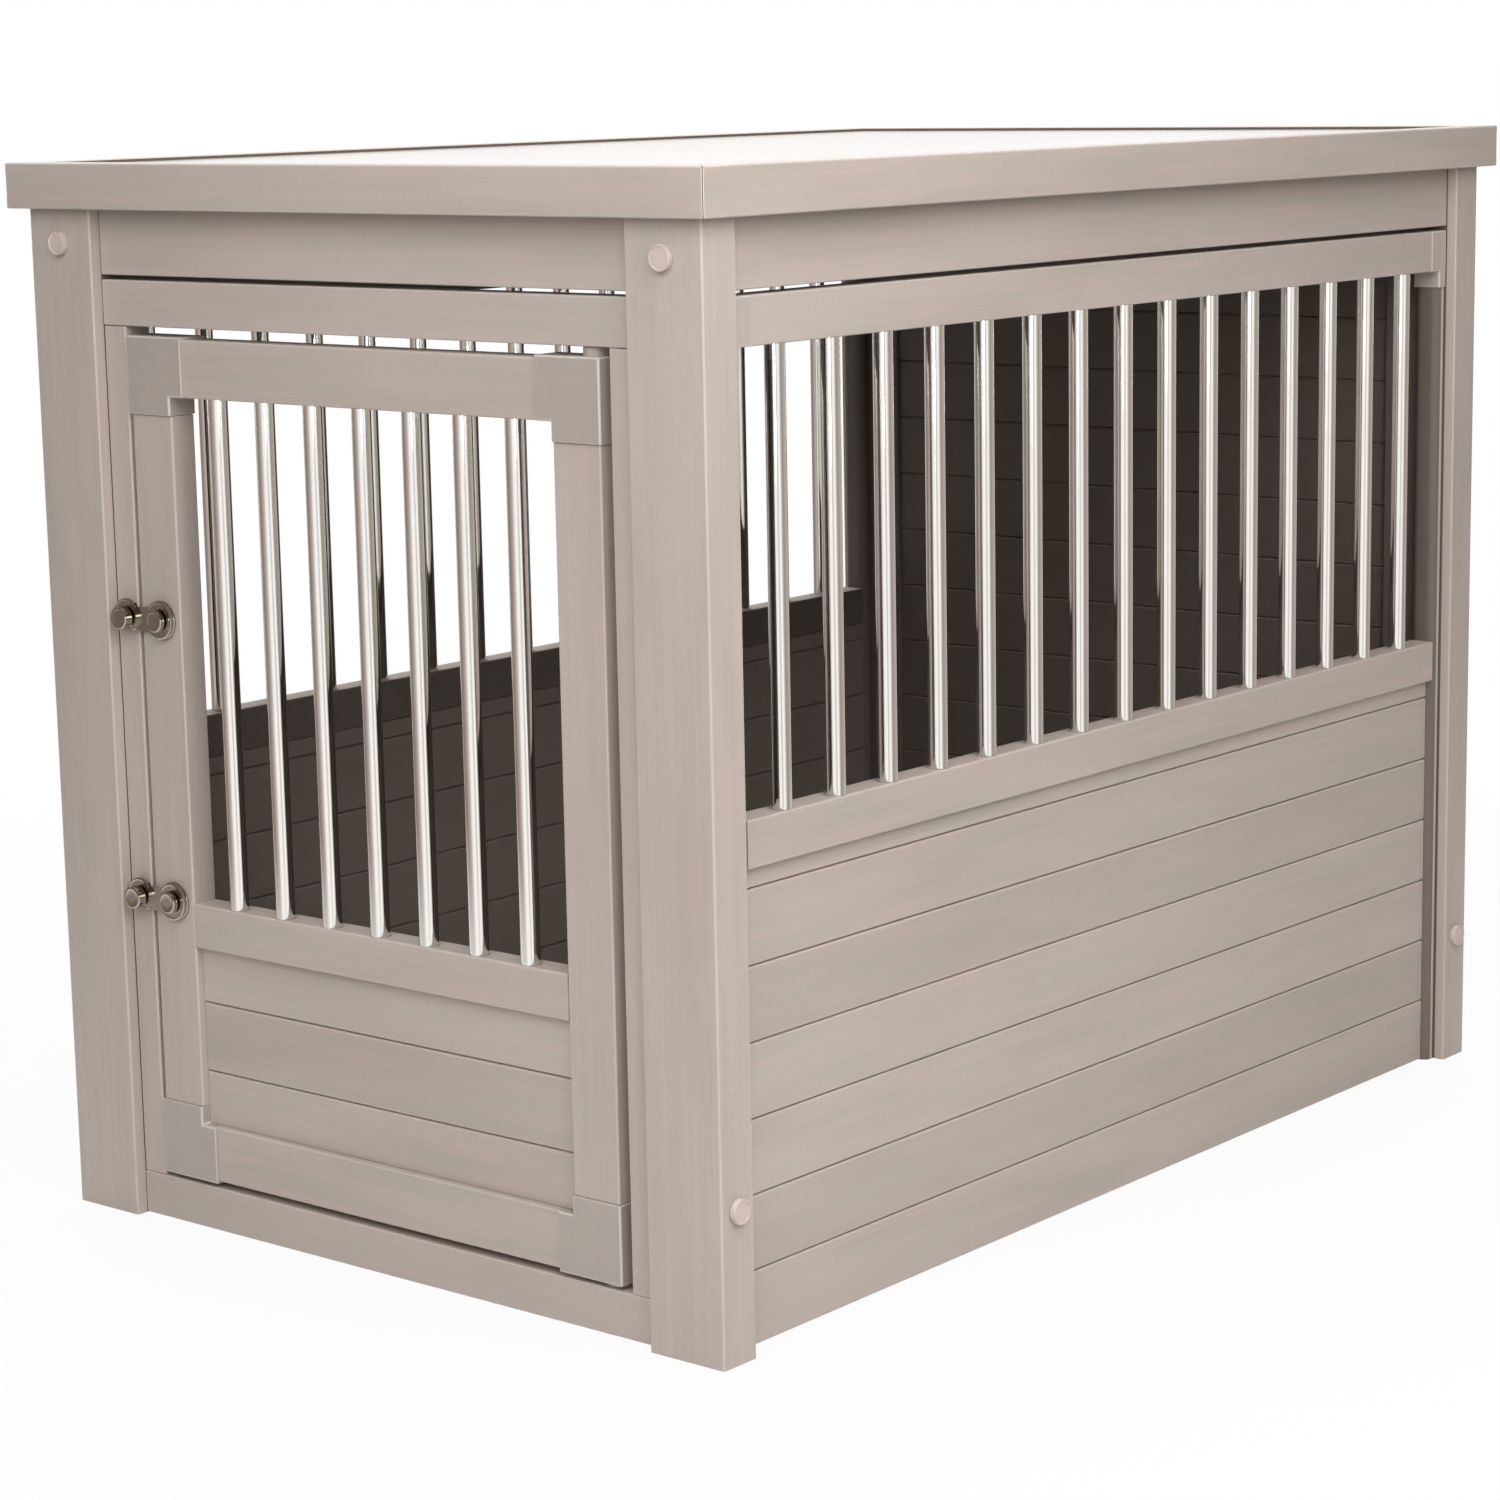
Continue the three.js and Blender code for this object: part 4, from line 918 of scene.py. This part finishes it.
for kind, body in (("keeper", "crate"), ("stud", "door")):
    for level in ("upper", "lower"):
        node = f"latch_{kind}_{level}"
        low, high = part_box(node)
        centre = (low + high) / 2
        washer = WASHER_RADIUS[kind]
        start_round(
            (centre.x - washer, frame_face - WASHER_THICKNESS, centre.z - washer),
            (centre.x + washer, frame_face - WASHER_GAP, centre.z + washer), Y, 64, nickel)
        pick("FACE", lambda face: face.normal.y < -0.9)
        bpy.ops.mesh.inset(thickness=washer - NECK_RADIUS)
        push(Y, WASHER_THICKNESS - HEAD_FROM)
        # A ring that lies on the end of the neck is widened to the back of the head.
        push(Y, 0)
        widen = HEAD_RADIUS / NECK_RADIUS
        bpy.ops.transform.resize(value=(widen, 1, widen),
                                 center_override=(centre.x, head_back, centre.z))
        push(Y, low.y - head_back)
        bpy.ops.mesh.inset(thickness=HEAD_RIM)
        for step, depth in CUP_STEPS:
            bpy.ops.mesh.inset(thickness=step * MM)
            bpy.ops.transform.translate(value=on_axis(Y, depth * MM))
        pick("FACE", lambda face: face.normal.y > 0.9
             and face.calc_center_median().y > frame_face - MM)
        bpy.ops.mesh.inset(thickness=washer - SHANK_RADIUS)
        push(Y, SHANK_LENGTH)
        pick("EDGE", lambda edge: edge.calc_face_angle_signed(0) > 1
             and edge.calc_length() > 0.5 * MM)
        bpy.ops.mesh.bevel(offset=HEAD_ROUND, segments=5, affect="EDGES")
        finish_piece(f"latch_{kind}_turned_{level}", body, "latches", node)

# ---- latch hooks
# A flat hook, 2 mm thick, cast with a raised bead along its edge and plated: one round lobe turns
# on the stud of the door, the other drops over the keeper, with its mouth open at the bottom.
LOBE_RADIUS = 12 * MM
PAST_LOBE = 14 * MM
ARM_HALF = 7.75 * MM
GRIP = 3.8 * MM
LIP = 2 * MM
MOUTH_FLARE = 1.9 * MM
BEAD_WIDTH = 1.9 * MM
BEAD_HEIGHT = 0.45 * MM
low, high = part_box("latch_hook_upper")
keeper_low, keeper_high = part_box("latch_keeper_upper")
stud_low, stud_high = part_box("latch_stud_upper")
keeper_x, stud_x = (keeper_low.x + keeper_high.x) / 2, (stud_low.x + stud_high.x) / 2
level_z = (keeper_low.z + keeper_high.z) / 2
lobe_bottom, lobe_top = level_z - LOBE_RADIUS, level_z + LOBE_RADIUS
start_round((keeper_x - LOBE_RADIUS, low.y, lobe_bottom),
            (keeper_x + LOBE_RADIUS, high.y, lobe_top), Y, 64, nickel)
plate = put_down()
# Under the lip on the outer side, and under the arm on the inner side, the lobe is cut away.
for left, right, above in (
    (keeper_x - PAST_LOBE, keeper_x, level_z - LIP),
    (keeper_x - MM, keeper_x + PAST_LOBE, level_z - ARM_HALF),
):
    start_block((left, low.y - MM, lobe_bottom - MM), (right, high.y + MM, above))
    combine(plate, "DIFFERENCE")
start_block((keeper_x, low.y, level_z - ARM_HALF), (stud_x, high.y, level_z + ARM_HALF), nickel)
combine(plate, "UNION")
start_round((stud_x - LOBE_RADIUS, low.y, lobe_bottom), (stud_x + LOBE_RADIUS, high.y, lobe_top),
            Y, 64, nickel)
combine(plate, "UNION")
# The mouth: straight on the outer side, flared on the inner side so that it finds the keeper.
start_block((keeper_x - GRIP, low.y - MM, level_z - PAST_LOBE),
            (keeper_x + GRIP, high.y + MM, level_z))
pick("EDGE", lambda edge: runs(edge, Y) and edge.verts[0].co.x > keeper_x
     and edge.verts[0].co.z < level_z - MM)
bpy.ops.transform.translate(value=on_axis(X, MOUTH_FLARE))
combine(plate, "DIFFERENCE")
drill(plate, Y, GRIP, [(keeper_x, level_z), (stud_x, level_z)], low.y - MM, high.y + MM)
# The bead. What the cuts left in splinters is merged first, so that the inset runs evenly.
bpy.ops.object.mode_set(mode="EDIT")
bpy.ops.mesh.select_all(action="SELECT")
bpy.ops.mesh.remove_doubles(threshold=0.3 * MM)
bpy.ops.mesh.dissolve_limited(angle_limit=math.radians(1))
pick("FACE", lambda face: face.normal.y < -0.99)
bpy.ops.transform.translate(value=on_axis(Y, BEAD_HEIGHT))
bpy.ops.mesh.inset(thickness=BEAD_WIDTH)
# Of the ring that the inset leaves, the faces shorter than 12 mm are raised.
pick("FACE", lambda face: face.normal.y < -0.99 and len(face.verts) == 4
     and face.calc_area() < BEAD_WIDTH * 12 * MM)
bpy.ops.mesh.inset(thickness=BEAD_WIDTH * 0.4)
bpy.ops.transform.translate(value=on_axis(Y, -BEAD_HEIGHT))
# The lower plate is a copy of the upper one.
take_up(put_down())
bpy.ops.object.duplicate()
bpy.ops.transform.translate(value=on_axis(Z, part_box("latch_hook_lower")[0].z - low.z))
bpy.ops.object.transform_apply(location=True, rotation=True, scale=True)
finish_piece("latch_plate_lower", "latch_lower", "latches", "latch_hook_lower")
take_up(plate)
finish_piece("latch_plate_upper", "latch_upper", "latches", "latch_hook_upper")

# ---- top
# Four edge boards, mitred at the corners, with a ledge inside that carries the panel. The panel
# lies a little lower than the rim and has a satin coat that mirrors at a low angle. The step
# between them is painted dark as painted shade, and the rounded mitre tips near white as a painted
# highlight.
RIM_WIDTH = 18 * MM
RIM_ROUND = 1.4 * MM
STEP_ROUND = 0.5 * MM
MITRE_ROUND = 0.8 * MM
LEDGE_HEIGHT = 12 * MM
# The arris finishes are paler: partly rubbed wear, partly a painted highlight.
rim_finishes = {
    axis: (composite(f"composite_rim_{way}", axis, satin=0.12, coat=0.6),
           composite(f"composite_rim_{way}_arris", axis, wear_and_highlight=0.18, satin=0.15))
    for axis, way in ((Y, "lengthwise"), (X, "crosswise"))
}
# Near-white finish for the rounded mitre tips: a painted highlight.
mitre_painted_highlight = composite("composite_mitre_cut", Z, wear_and_highlight=0.85)
# Dark taupe for the inner step of the rim: painted shade.
rim_step_painted_shade = moulded("sealing_bead_dark_taupe", "#665d56", 0.6)
for name, along, across, side in (
    ("right", Y, X, 1), ("left", Y, X, -1), ("front", X, Y, -1), ("back", X, Y, 1),
):
    low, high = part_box(f"top_edge_{name}")
    outer = (high if side > 0 else low)[across]
    rim = outer - side * RIM_WIDTH
    ledge_top = low.z + LEDGE_HEIGHT
    start_block(low, (high.x, high.y, ledge_top), *rim_finishes[along], mitre_painted_highlight, rim_step_painted_shade)
    saw(on_axis(across, rim), on_axis(across, 1))
    pick("FACE", lambda face: face.normal.z > 0.9
         and (face.calc_center_median()[across] - rim) * side > 0)
    push(Z, high.z - ledge_top)
    # The inner step face of the rim takes the dark taupe, a painted shade.
    pick("FACE", lambda face: face.normal[across] * side < -0.9
         and face.calc_center_median().z > ledge_top)
    bpy.context.object.active_material_index = 3
    bpy.ops.object.material_slot_assign()
    pick("EDGE", lambda edge: runs(edge, along) and edge.calc_face_angle(0) > 1
         and is_at(edge, across, outer))
    bpy.ops.mesh.bevel(offset=RIM_ROUND, segments=4, affect="EDGES", material=1)
    pick("EDGE", lambda edge: runs(edge, along) and is_at(edge, across, rim)
         and is_at(edge, Z, high.z))
    bpy.ops.mesh.bevel(offset=STEP_ROUND, segments=2, affect="EDGES", material=1)
    for end in (-1, 1):
        tip = on_axis(across, outer)
        tip[along] = (high if end > 0 else low)[along]
        facing = on_axis(across, -side)
        facing[along] = end
        saw(tip, facing, off=True)
        pick("EDGE", lambda edge: runs(edge, Z) and is_at(edge, across, outer)
             and is_at(edge, along, tip[along]))
        # The rounded mitre tip takes the near-white finish, a painted highlight.
        bpy.ops.mesh.bevel(offset=MITRE_ROUND, segments=3, affect="EDGES", material=2)
    finish_piece(f"top_board_{name}", "crate", "boards", f"top_edge_{name}")

low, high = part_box("top_panel")
coated = composite("composite_top_satin_coat", Y, satin=0.24, coat=1.0)
# The arris finish is paler: partly rubbed wear, partly a painted highlight.
coated_arris = composite("composite_top_satin_coat_arris", Y, wear_and_highlight=0.2, satin=0.24, coat=1.0)
start_board(low, high, Y, coated, coated_arris, 0.8 * MM)
finish_piece("top_inner_panel", "crate", "top_panel", "top_panel")
